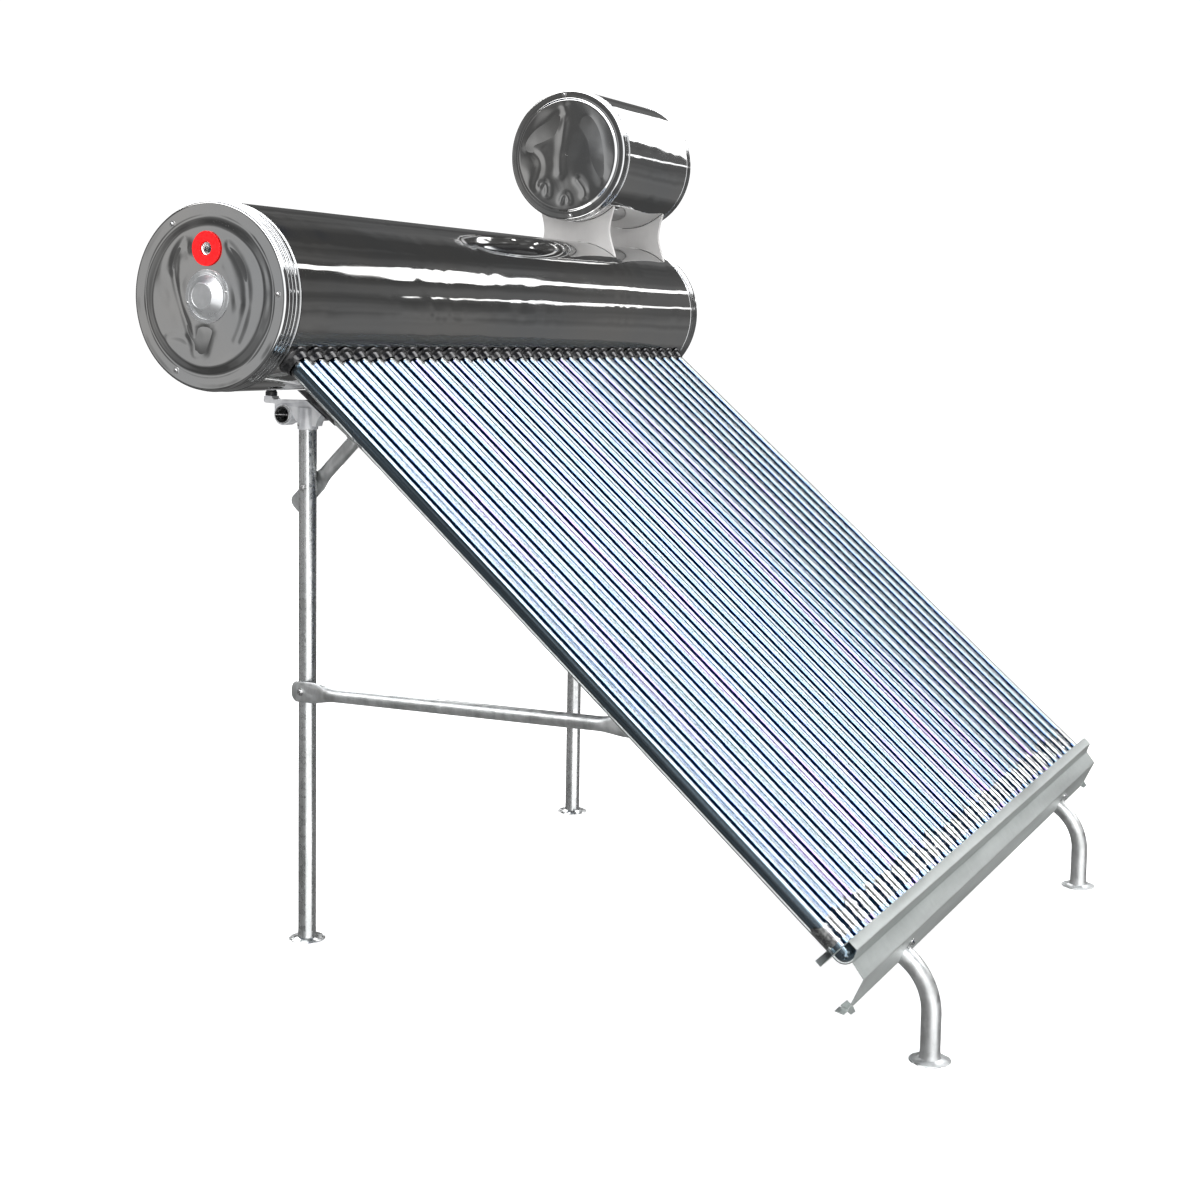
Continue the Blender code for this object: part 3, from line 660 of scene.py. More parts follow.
def make_feeder_tank():
    half = (feeder_hi.x - feeder_lo.x) / 2
    add("feeder_jacket", jacket(FEEDER_R, half, 40, 160), MIRROR_SHELL,
        ["feeder_tank_shell"], FEEDER, ALONG_X)
    beads = ((0.013, 0.022), (0.024, 0.033))
    creases = [(((0.86, 0.05), (0.40, 0.02), (0.10, 0.16), (-0.30, 0.12)), 0.018, 0.0022),
               (((0.70, 0.10), (0.40, 0.40), (0.30, 0.62), (0.20, 0.80)), 0.022, -0.0026),
               (((0.10, 0.75), (-0.10, 0.40), (-0.30, 0.55), (-0.55, 0.62)), 0.016, -0.0020),
               (((0.55, -0.40), (0.20, -0.70), (0.00, -0.50), (-0.45, -0.72)), 0.022, -0.0022),
               (((-0.45, -0.25), (-0.55, -0.34), (-0.62, -0.40), (-0.72, -0.38)), 0.014, 0.0026),
               (((-0.50, 0.50), (-0.45, 0.40), (-0.50, 0.36), (-0.66, 0.38)), 0.012, 0.0024),
               (((-0.80, 0.10), (-0.66, 0.06), (-0.66, -0.04), (-0.80, -0.06)), 0.010, 0.0020)]
    size = (FEEDER_R, FEEDER_SKIRT, 0.0, 0.026, 0.009)
    for end, face, turn, node, seed in (
            ("near", FEEDER_NEAR, ALONG_MINUS_X, "feeder_cap_left", 21.0),
            ("far", FEEDER_FAR, ALONG_X, "feeder_cap_right", 33.0)):
        cap = end_cap("feeder_end_" + end, size, beads, (0.0055, seed, creases), face, turn, FEEDER)
        finished(cap, MIRROR_CAP, [node])


def screw_mesh(head_r, height, washer_r):
    """Pan-head screw over a washer, with a cross recess."""
    washer = 0.0010
    outline = [(0, -0.0012), (washer_r, -0.0012), (washer_r, washer), (head_r, washer)]
    outline += [(head_r * math.cos(a), washer + height * math.sin(a))
                for a in (0.25, 0.6, 0.95, 1.2)]
    outline += [(head_r * part, washer + height) for part in (0.30, 0.22, 0.15, 0.08, 0)]
    mesh = turned(outline, 24)
    for vert in mesh.vertices:
        across = min(abs(vert.co.x), abs(vert.co.y))
        radius = math.hypot(vert.co.x, vert.co.y)
        if vert.co.z > washer + 0.9 * height and radius < head_r * 0.31 and across < head_r * 0.09:
            vert.co.z -= height * 0.5
    return mesh


def on_face(centre, face_x, radius, degrees, sink=0.004):
    """The place of something on a near cap's face; degrees from the top towards the rear."""
    angle = math.radians(degrees)
    spot = (face_x + sink, centre.y + radius * math.sin(angle), centre.z + radius * math.cos(angle))
    return Matrix.Translation(spot) @ Matrix.Rotation(-math.pi / 2, 4, "Y")


def make_cap_screws():
    places = [on_face(TANK, FACE_NEAR, 0.2100, degrees) for degrees in (32, 151, 272)]
    places += [on_face(FEEDER, FEEDER_NEAR, 0.2010, degrees) for degrees in (4, 184)]
    screws = [screw_mesh(0.0048, 0.0030, 0.0085)] * len(places)
    add("cap_screws", join_meshes(screws, places), FASTENER)


def make_outlet():
    """Chrome socket with a female thread, and the soft red ring around it."""
    socket_lo, socket_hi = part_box("outlet_socket")
    length = socket_hi.x - socket_lo.x
    sides, rows = 48, 96
    pitch, thread, chamfer = 0.0023, 0.0009, 0.0030
    rings = [loop(OUTLET_R, 0, sides), loop(OUTLET_R, length - 0.001, sides),
             loop(OUTLET_R - 0.001, length, sides), loop(OUTLET_R - 0.0018, length, sides)]
    for step in range(rows + 1):
        z = (length - chamfer) * (1 - step / rows)
        turns = z / pitch + np.arange(sides) / sides
        rings.append(loop(OUTLET_BORE + thread * np.abs((turns % 1.0) * 2 - 1), z, sides))
    add("hot_water_socket", skin(rings, along=True, angle=50), CHROME,
        ["outlet_socket"], (socket_hi.x, OUTLET.y, OUTLET.z), ALONG_MINUS_X)

    hole, outer = OUTLET_R + 0.0004, 0.0430
    outline = [(hole, 0.0005), (outer - 0.001, 0.0005)]
    outline += arc((outer - 0.0030, 0.0036), 0.0030, -60, 80, 8)
    outline += [(0.034, 0.0072), (0.026, 0.0071)]
    outline += arc((hole + 0.0026, 0.0046), 0.0026, 90, 180, 5)
    ring = turned(outline, 72)
    for vert in ring.vertices:
        lump = noise.noise(Vector((vert.co.x * 55, vert.co.y * 55, 3.0)))
        if vert.co.z > 0.002:
            vert.co.z += 0.0003 * lump
        vert.co.xy *= 1 + 0.010 * lump * (math.hypot(vert.co.x, vert.co.y) > 0.03)
    add("red_sealing_ring", ring, RED, ["outlet_seal_ring"], OUTLET, ALONG_MINUS_X)


def make_port_cover():
    lip = PORT_R - 0.0008
    outline = [(lip, -0.0120), (lip, 0.0004), (0.0655, 0.0004)]
    outline += arc((0.0650, 0.0014), 0.0010, -60, 90, 4)
    outline += [(0.0585, 0.0029)]
    outline += arc((0.0560, 0.0030), 0.0010, 20, 160, 5)
    outline += [(0.0520 - 0.0190 * i / 4, 0.0040 + 0.0180 * i / 4) for i in range(5)]
    outline += arc((0.0316, 0.0221), 0.0016, 25, 90, 4)
    outline += [(0.0296, 0.0238), (0.0288, 0.0231), (0.0120, 0.0230), (0, 0.0230)]
    outline += [(0, 0.0208), (0.0290, 0.0208), (lip - 0.0025, 0.0020), (lip - 0.0025, -0.0120)]
    add("port_cover", turned(outline, 96, 18), COVER, ["heater_port_cover"],
        (FACE_NEAR, TANK.y, TANK.z), ALONG_MINUS_X, "port_cover")
    clip = turned([(0, 0), (0.0030, 0), (0.0030, 0.0008), (0.0018, 0.0017), (0, 0.0018)], 16)
    places = [on_face(TANK, FACE_NEAR, 0.0610, degrees, -0.0024) for degrees in (-29, 105, -80)]
    add("port_cover_clips", join_meshes([clip] * 3, places), CHROME,
        body="port_cover")


# ---- saddles ------------------------------------------------------------------------------
def saddle_half_width(part):
    """Half the plate's width from its foot (0) to its crown (1), waisted in between."""
    foot, crown, waist = 0.1470, 0.1400, 0.0200
    return foot + (crown - foot) * part - waist * math.sin(math.pi * part)


def saddle_mesh():
    """A waisted plate with turned-back side edges and a flange bent along each tank."""
    columns, rows = 40, 24
    gap, side_edge, flange = 0.0016, 0.011, 0.0118
    face = []
    for row in range(rows + 1):
        part = row / rows
        y = np.linspace(-1, 1, columns + 1) * saddle_half_width(part)
        low = np.sqrt((TANK_R + gap) ** 2 - y * y) + TANK.z
        high = FEEDER.z - np.sqrt((FEEDER_R + gap) ** 2 - y * y)
        face.append(np.stack((0 * y, y, low + (high - low) * part), axis=1))
    points = np.array(face)
    edges = points[:, [0, -1]] + (side_edge, 0, 0)
    plate = np.concatenate((edges[:, :1], points, edges[:, 1:]), axis=1)
    mesh = skin(plate, around=False, finish=False)
    bm = bmesh.new()
    bm.from_mesh(mesh)
    for row in (0, rows):
        out = [bm.verts.new(Vector(p) + Vector((flange, 0, 0))) for p in points[row]]
        bm.verts.ensure_lookup_table()
        start = row * (columns + 3) + 1
        for i in range(columns):
            bm.faces.new((bm.verts[start + i], bm.verts[start + i + 1], out[i + 1], out[i]))
    bmesh.ops.recalc_face_normals(bm, faces=bm.faces)
    bm.to_mesh(mesh)
    bm.free()
    return smooth(mesh, 30)


def make_saddles():
    places = []
    for hand in HANDS:
        x = middle("saddle_" + hand)[0]
        saddle = make_object("saddle_plate_" + hand, saddle_mesh(), (x - 0.001, TANK.y, 0))
        thick = saddle.modifiers.new("sheet", "SOLIDIFY")
        thick.thickness = 0.0014
        thick.offset = 0
        apply_modifiers(saddle)
        rounded(saddle, 0.0005)
        finished(saddle, SADDLE, ["saddle_" + hand])
        for angle in (-0.42, 0.42):
            for centre, radius, turn in ((TANK, TANK_R, -angle), (FEEDER, -FEEDER_R, math.pi + angle)):
                reach = radius + math.copysign(0.0022, radius)
                y = centre.y + abs(reach) * math.sin(angle)
                spot = (x + 0.0055, y, centre.z + reach * math.cos(angle))
                places.append(Matrix.Translation(spot) @ Matrix.Rotation(turn, 4, "X"))
    rivet = turned([(0, -0.001), (0.0045, -0.001), (0.0045, 0.0004), (0.0036, 0.0020),
                    (0.0018, 0.0028), (0, 0.0030)], 20)
    add("saddle_rivets", join_meshes([rivet] * len(places), places), FASTENER)


# ---- tubes --------------------------------------------------------------------------------
def tube_frame(x):
    """A frame on the tank's axis: Z down the slope, Y out of the tubes' plane."""
    return Matrix.Translation((x, TANK.y, TANK.z)) @ Matrix.Rotation(math.pi / 2 + TILT, 4, "X")


TUBE_PLACES = [tube_frame(x) for x in TUBE_X]
GLASS_WALL = 0.0016
TUBE_SIDES = 40


def test_tube(radius, tail):
    """A straight tube with a round tail, like a test tube."""
    stations = [TUBE_TOP + (TUBE_TAIL - TUBE_R - TUBE_TOP) * i / 10 for i in range(10)]
    skins = []
    for size in (radius, radius - GLASS_WALL):
        skins.append([(size, z) for z in stations] + arc((0, tail - radius), size, 0, 90, 8))
    return turned(skins[0] + skins[1][::-1], TUBE_SIDES)


def make_tubes():
    for name, radius, tail, material, nodes in (
            ("outer_glass", TUBE_R, TUBE_TAIL, GLASS, TUBE_NODES),
            ("absorber_tubes", 0.0235, TUBE_TAIL - 0.005, ABSORBER, ())):
        tubes = join_meshes([test_tube(radius, tail)] * TUBE_COUNT, TUBE_PLACES)
        add(name, tubes, material, nodes)

    getters = []
    steps = 6
    film = TUBE_R - GLASS_WALL - 0.0003
    for number in range(TUBE_COUNT):
        ragged = np.array([noise.noise(Vector((math.cos(a), math.sin(a), number * 3.7)))
                           for a in full_turn(TUBE_SIDES)])
        start, stop = TUBE_TAIL - 0.104 + 0.026 * ragged, TUBE_TAIL - 0.052
        rows = []
        for radius in (film, film - 0.00015):
            rows += [loop(radius, start + (stop - start) * i / steps, TUBE_SIDES)
                     for i in range(steps + 1)]
        getters.append(skin(rows[:steps + 1] + rows[:steps:-1], along=True))
    add("getter_mirrors", join_meshes(getters, TUBE_PLACES), GETTER)


def make_dust_rings():
    """Rubber ring round each tube; its back follows the tank's curve.

    Neighbours overlap, so every other ring sits a little higher.
    """
    collar = [(0.0294, 0.020), (0.0318, 0.0240), (0.0345, 0.0180)]
    skirt = [(0.0352, 0.0090), (0.0385, 0.0066), (0.0412, 0.0040), (0.0422, 0.0012), (0.0422, 0.0),
             (0.0296, 0.0)]
    rings = []
    for lift in (0.0006, 0.0030):
        rows = [loop(radius, TANK_R + lift + height, TUBE_SIDES) for radius, height in collar]
        for radius, height in skirt:
            seat = np.sqrt((TANK_R + lift) ** 2 - (radius * np.sin(full_turn(TUBE_SIDES))) ** 2)
            rows.append(loop(radius, seat + height, TUBE_SIDES))
        rings.append(skin(rows, along=True, angle=40))
    add("dust_rings", join_meshes(rings * (TUBE_COUNT // 2), TUBE_PLACES), GLOSSY_RUBBER)


# ---- stand --------------------------------------------------------------------------------
LEVEL = -math.pi / 2                                  # slope of a ring that lies level
DOWN_RAIL = RAIL_SLOPE + math.pi


def ring_at(centre, slope, half_x, across, groove, seam, sides=48):
    """An oval across a path in the YZ plane; groove sinks a seam along one line."""
    angles = full_turn(sides)
    turn = (angles - seam + math.pi) % (2 * math.pi) - math.pi
    sink = 1 - groove * np.exp(-(turn / 0.11) ** 2)
    out = across * sink * np.sin(angles)
    return np.stack((centre[0] + half_x * sink * np.cos(angles), centre[1] - out * math.sin(slope),
                     centre[2] + out * math.cos(slope)), axis=1)


def pipe(stations, wall, groove=0.0, seam=math.pi, foot=(), under=()):
    """A pipe through stations of (centre, slope, half width in X, half width across)."""
    outside = [ring_at(c, s, a, b, groove, seam) for c, s, a, b in stations]
    bore = [ring_at(c, s, a - wall, b - wall, groove, seam) for c, s, a, b in stations]
    return skin(outside + list(foot) + list(under) + bore[::-1], along=True)


def petal_foot(x, y, sides=48):
    """The pipe's end is slit and hammered out into petals that lie on the ground."""
    outer = ((LEG_R, 0.034), (LEG_R + 0.0006, 0.016), (LEG_R + 0.0028, 0.0080),
             (LEG_R + 0.008, 0.0050), (0.0400, 0.0040), (0.0488, 0.0034), (0.0500, 0.0018),
             (0.0488, 0.0004))
    under = ((0.0400, 0.0004), (LEG_R + 0.006, 0.0020), (LEG_R - 0.001, 0.0080),
             (LEG_R - LEG_WALL, 0.024))
    slits, slit_depth = 4, 0.005
    near = np.abs((full_turn(sides) * slits / (2 * math.pi) + 0.37) % 1.0 - 0.5) * 2
    slit = slit_depth * np.exp(-((1 - near) / 0.10) ** 2)
    rings = []
    for radius, z in outer + under:
        out = min(1.0, max(0.0, (radius - LEG_R - 0.004) / 0.022))
        rings.append(loop(radius - slit * out, z, sides) + (x, y, 0))
    return rings[:len(outer)], rings[len(outer):]


def make_rear_legs():
    for hand in HANDS:
        x, y, _ = middle("rear_leg_" + hand)
        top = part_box("rear_leg_" + hand)[1].z
        heights = [top - (top - 0.06) * i / 12 for i in range(13)]
        stations = [((x, y, z), LEVEL, LEG_R, LEG_R) for z in heights]
        mesh = pipe(stations, LEG_WALL, 0.03, math.radians(232), *petal_foot(x, y))
        add("rear_leg_tube_" + hand, mesh, ZINC, ["rear_leg_" + hand])


def rail_y(z):
    return RAIL_Y + (z - RAIL_Z) / math.tan(RAIL_SLOPE)


def make_front_rails():
    """Cut level at the top, straight down the slope, then bent down to the foot."""
    for hand in HANDS:
        lo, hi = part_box("front_rail_" + hand)
        x, foot_y, top = (lo.x + hi.x) / 2, lo.y + 0.050, hi.z
        bend = math.pi / 2 - RAIL_SLOPE
        centre_y = foot_y + RAIL_BEND_R
        start_y = centre_y - RAIL_BEND_R * math.cos(bend)
        start_z = RAIL_Z + (start_y - RAIL_Y) * math.tan(RAIL_SLOPE)
        centre_z = start_z - RAIL_BEND_R * math.sin(bend)
        stations = [((x, rail_y(top), top), LEVEL, LEG_R, LEG_R / math.sin(RAIL_SLOPE))]
        upper = top - 0.12
        for step in range(9):
            z = upper + (start_z - upper) * step / 9
            stations.append(((x, rail_y(z), z), DOWN_RAIL, LEG_R, LEG_R))
        turns = 14
        for step in range(turns + 1):
            angle = bend * (1 - step / turns)
            centre = (x, centre_y - RAIL_BEND_R * math.cos(angle),
                      centre_z + RAIL_BEND_R * math.sin(angle))
            squash = 1 - 0.04 * math.sin(math.pi * step / turns)
            stations.append((centre, LEVEL - angle, LEG_R, LEG_R * squash))
        mesh = pipe(stations, LEG_WALL, 0.03, math.pi * 0.9, *petal_foot(x, foot_y))
        add("front_rail_tube_" + hand, mesh, SOFT_ZINC, ["front_rail_" + hand])


def brace(name, node, start, stop, flats, run_out):
    """A round tube pressed flat at both ends, from start to stop in the YZ plane.

    flats holds the length of each flat end, and run_out is how far it takes to round out.
    """
    flat_x, flat_w = 0.0034, 0.0283
    x = middle(node)[0]
    start, run = Vector(start), Vector(stop) - Vector(start)
    first, last = flats[0], run.length - flats[1] - run_out
    straight = last - first - run_out
    marks = [(0.0, 0.0, 0.55), (0.004, 0.0, 0.80), (0.012, 0.0, 1.0)]
    marks += [(first + run_out * i / 8, i / 8, 1.0) for i in range(9)]
    marks += [(first + run_out + straight * i / 5, 1.0, 1.0) for i in range(1, 5)]
    marks += [(last + run_out * i / 8, 1 - i / 8, 1.0) for i in range(9)]
    marks += [(run.length - 0.012, 0.0, 1.0), (run.length - 0.004, 0.0, 0.80), (run.length, 0.0, 0.55)]
    stations = []
    for distance, part, shrink in marks:
        ease = part * part * (3 - 2 * part)
        centre = (x, *(start + run * (distance / run.length)))
        across = flat_w + (BRACE_R - flat_w) * ease
        stations.append((centre, math.atan2(run.y, run.x), flat_x + (BRACE_R - flat_x) * ease,
                         across * shrink))
    add(name, pipe(stations, 0.0018), SOFT_ZINC, [node])


def make_braces():
    y = TANK.y
    for hand in HANDS:
        brace("diagonal_tube_" + hand, "diagonal_brace_" + hand, (y + 0.079, 1.191),
              (y - 0.163, 1.427), (0.104, 0.030), 0.040)
        brace("middle_tube_" + hand, "mid_brace_" + hand, (y + 0.047, 0.695),
              (y - 1.090, 0.712), (0.062, 0.120), 0.080)


def make_cross_tube():
    """The tube between the brackets, with a flat web set into each end."""
    lo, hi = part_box("cross_tube")
    centre, half = middle("cross_tube"), (hi.x - lo.x) / 2
    _, y, z = centre
    bore = LEG_R - LEG_WALL
    outline = [(bore, -half), (LEG_R - 0.0004, -half), (LEG_R, -half + 0.0005)]
    outline += [(LEG_R, -half + 2 * half * i / 8) for i in range(1, 8)]
    outline += [(LEG_R, half - 0.0005), (LEG_R - 0.0004, half), (bore, half)]
    add("rear_cross_tube", turned(outline, 48), ZINC, ["cross_tube"], centre, ALONG_X)
    web, thick = bore - 0.0002, 0.0012
    outline = [(y + a * web, z - 0.001 + b * thick)
               for a, b in ((-1, -1), (1, -1), (1, 1), (-1, 1))]
    webs = [extruded(outline, lo.x + 0.0015, lo.x + 0.060),
            extruded(outline, hi.x - 0.060, hi.x - 0.0015)]
    piece = make_object("cross_tube_webs", join_meshes(webs))
    rounded(piece, 0.0006)
    finished(piece, FASTENER)


def make_leg_brackets():
    """Casting: socket for the leg, eye for the cross tube, arm to the rubber pad, rail gusset."""
    _, eye_y, eye_z = middle("cross_tube")
    wall_r, tube_r = 0.0290, LEG_R + 0.0004
    under = LEG_R / math.cos(RAIL_SLOPE) + 0.0012

    def at(*points):
        return [(TANK.y + y, z) for y, z in points]

    def below_rail(*places):
        return at(*((y, RAIL_Z + (TANK.y + y - RAIL_Y) * math.tan(RAIL_SLOPE) - under)
                    for y in places))

    for hand in HANDS:
        x, leg_y, _ = middle("rear_leg_" + hand)
        leg_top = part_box("rear_leg_" + hand)[1].z
        outline = arc((eye_y, eye_z), wall_r, 0, -180, 16)
        outline += at((0.046, 1.430)) + [(leg_y - 0.0265, 1.417)]
        outline += arc((TANK.y - 0.078, 1.405), 0.0600, 12, 58, 8)
        outline += below_rail(-0.056, -0.020, 0.0065)
        outline += at((0.0165, 1.4865), (0.118, 1.4855), (0.1235, 1.4890), (0.1250, 1.4945),
                      (0.1510, 1.4945), (0.1525, 1.480), (0.148, 1.476), (0.1165, 1.4745))
        mesh = extruded(outline, x - 0.015, x + 0.015)
        bracket = make_object("rear_bracket_" + hand, mesh)
        socket = turned([(0, 1.408), (0.0262, 1.408), (0.0275, 1.4095), (0.0275, 1.465),
                         (0.0262, 1.467), (0, 1.467)], 48)
        boolean(bracket, socket, (x, leg_y, 0), operation="UNION")
        boolean(bracket, rod(wall_r, 0.034, 48), (x - 0.017, eye_y, eye_z), ALONG_X, "UNION")
        boolean(bracket, rod(tube_r, 0.10, 48), (x, leg_y, leg_top + 0.0004 - 0.10))
        boolean(bracket, rod(tube_r, 0.10, 48), (x - 0.05, eye_y, eye_z), ALONG_X)
        rounded(bracket, 0.0011, 38)
        finished(bracket, CAST, ["leg_bracket_" + hand])


def make_pads_and_boots_and_shade():
    """Rubber pads between the bracket arms and the tank, and black rubber boots on the rails' ends;
    the boots' black is partly painted shade, where the tank and the first tube shade the rails' tops.
    """
    base, off = 1.4950, 0.138
    seat = TANK.z - math.sqrt(TANK_R ** 2 - off ** 2) - 0.0006
    outline = [(0, base), (0.0150, base), (0.0160, base + 0.001), (0.0160, base + 0.010),
               (0.0135, base + 0.013), (0.0135, base + 0.020), (0.0160, base + 0.023),
               (0.0160, seat - 0.012), (0, seat - 0.012)]
    grip = LEG_R + 0.0024
    for hand in HANDS:
        x, top = middle("front_rail_" + hand)[0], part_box("front_rail_" + hand)[1].z
        pad = turned(outline, 40)
        for vert in pad.vertices:
            if vert.co.z > seat - 0.013:
                vert.co.z = TANK.z - math.sqrt(TANK_R ** 2 - (vert.co.y + off) ** 2) - 0.0008
        add("tank_pad_" + hand, pad, RUBBER, location=(x, TANK.y + off, 0))

        # Black boot over the top of each rail: its black is partly painted shade under the tank and
        # the first tube.
        cut = top - 0.0002
        stations = [((x, rail_y(cut), cut), LEVEL, grip, grip / math.sin(RAIL_SLOPE))]
        for distance in (0.034, 0.060, 0.090, 0.118):
            z = top - distance * math.sin(RAIL_SLOPE)
            stations.append(((x, rail_y(z), z), DOWN_RAIL, grip, grip))
        add("rail_boot_and_shade_" + hand, pipe(stations, 0.0021), RUBBER)


def hex_bolt(washer_r, length):
    """Hex head with a chamfered top over a washer, its shank and nut on the far side."""
    washer, height, half, shank_r, sides = 0.0016, 0.0055, 0.0065, 0.0038, 48
    top = washer + height
    corner = (full_turn(sides) + math.pi / 6) % (math.pi / 3) - math.pi / 6
    hexed = half / np.cos(corner)
    rows = [(0, top), (half * 0.86, top), (hexed * 0.96, top - 0.0008), (hexed, top - 0.0018),
            (hexed, washer), (washer_r, washer), (washer_r, 0), (shank_r, 0),
            (shank_r, -length + 0.010), (hexed, -length + 0.010), (hexed, -length + 0.004),
            (half * 0.86, -length + 0.003), (shank_r, -length + 0.003), (shank_r, -length),
            (0, -length)]
    return skin([loop(radii, z, sides) for radii, z in rows], angle=28)


def make_frame_bolts():
    """Bolts through the flattened brace ends, screws in the channel, rivets in the castings."""
    bolt, short = hex_bolt(0.0098, 0.066), hex_bolt(0.0105, 0.014)
    bolts, places = [], []
    for hand, side in zip(HANDS, (-1, 1)):
        facing = Matrix.Rotation(side * math.pi / 2, 4, "Y")
        leg_x = middle("rear_leg_" + hand)[0]
        on_brace = middle("mid_brace_" + hand)[0] + side * 0.0040
        on_leg = leg_x + side * LEG_R
        for x, y, z in ((on_brace, 0.017, 0.6955), (on_brace, -1.050, 0.7113),
                        (on_leg, 0.017, 1.2515), (on_leg, -0.135, 1.3997)):
            bolts.append(bolt)
            places.append(Matrix.Translation((x, TANK.y + y, z)) @ facing)
        bolts.append(short)
        places.append(tube_frame(leg_x) @ Matrix.Translation((0, -0.018, 2.2562))
                      @ Matrix.Rotation(math.radians(-16), 4, "X"))
    add("brace_bolts", join_meshes(bolts, places, 28), FASTENER)

    rivet = turned([(0, -0.002), (0.0052, -0.002), (0.0052, 0.0002), (0.0046, 0.0016),
                    (0.0026, 0.0026), (0, 0.0028)], 24)
    spots = []
    for hand in HANDS:
        x, y, _ = middle("rear_leg_" + hand)
        for degrees in (152, 28):
            angle = math.radians(degrees)
            out = Vector((math.cos(angle), math.sin(angle), 0))
            turn = Vector((0, 0, 1)).rotation_difference(out).to_matrix().to_4x4()
            spots.append(Matrix.Translation(Vector((x, y, 1.421)) + out * 0.0275) @ turn)
    add("bracket_rivets", join_meshes([rivet] * 4, spots), FASTENER)


# ---- tail channel -------------------------------------------------------------------------
def bent_line(corners, radius, steps=4):
    """Round the corners of an open line of 2-D points."""
    points = [Vector(corners[0])]
    for before, corner, after in zip(corners, corners[1:], corners[2:]):
        corner = Vector(corner)
        start = corner + (Vector(before) - corner).normalized() * radius
        stop = corner + (Vector(after) - corner).normalized() * radius
        for i in range(steps + 1):
            part = i / steps
            points.append((start * (1 - part) ** 2) + corner * 2 * part * (1 - part)
                          + stop * part ** 2)
    return points + [Vector(corners[-1])]


def sheet_outline(line, thickness):
    """A closed outline from an open line, thickened to one side."""
    offset = []
    for i, point in enumerate(line):
        before = (point - line[i - 1]).normalized() if i else None
        after = (line[i + 1] - point).normalized() if i + 1 < len(line) else None
        first, second = before or after, after or before
        mitre = Vector((-first.y - second.y, first.x + second.x)).normalized()
        normal = Vector((-first.y, first.x))
        offset.append(point + mitre * thickness / max(mitre.dot(normal), 0.5))
    return line + offset[::-1]


def make_tail_channel():
    """Outlines here are points of (out of the tubes' plane, down the slope)."""
    lo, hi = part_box("tail_channel")
    half = (hi.x - lo.x) / 2
    fold = [(-0.042, 2.145), (-0.0432, 2.161), (0.0488, 2.165), (0.0488, 2.192),
            (0.0210, 2.203), (0.0120, 2.245), (-0.0700, 2.268)]
    mesh = extruded(sheet_outline(bent_line(fold, 0.0024), 0.0015), -half, half, 30)
    rail = make_object("tail_rail", mesh, TANK, DOWN_SLOPE)
    cut_tube_holes(rail, 0.0006, 2.14, 0.05, 40)
    finished(rail, CHANNEL, ["tail_channel"])

    tab = [(-0.0560, 2.2500), (-0.0760, 2.2480), (-0.0780, 2.2500), (-0.0740, 2.2780),
           (-0.0600, 2.2800), (-0.0560, 2.2700)]
    strip = [(-0.0690, 2.2670), (-0.0790, 2.2480), (-0.0805, 2.2490), (-0.0705, 2.2685)]
    lips = []
    for side in (-1, 1):
        for outline, start, wide in ((tab, 0.012, 0.0016), (strip, 0.008, 0.030)):
            inner = side * (half - start)
            lips.append(extruded(outline, *sorted((inner, inner + side * wide))))
    piece = make_object("channel_end_lips", join_meshes(lips), TANK, DOWN_SLOPE)
    rounded(piece, 0.0005)
    finished(piece, CHANNEL)


# ---- stage --------------------------------------------------------------------------------
def make_floor():
    line = np.linspace(-14.0, 14.0, 29)
    mesh = skin([[(x, y, 0.0) for x in line] for y in line], around=False)
    floor = make_object("floor", mesh, (TANK.x, TANK.y, -0.0005))
    floor.data.materials.append(floor_material())
    floor.visible_glossy = False
    floor.visible_transmission = False


def area_light(name, location, target, size, power):
    light = bpy.data.lights.new(name, "AREA")
    light.shape = "RECTANGLE"
    light.size, light.size_y = size
    light.energy = power
    lamp = bpy.data.objects.new(name, light)
    lamp.location = location
    lamp.rotation_euler = (Vector(target) - Vector(location)).to_track_quat("-Z", "Y").to_euler()
    lamp.visible_camera = False
    lamp.visible_transmission = False
    bpy.context.scene.collection.objects.link(lamp)
    return lamp


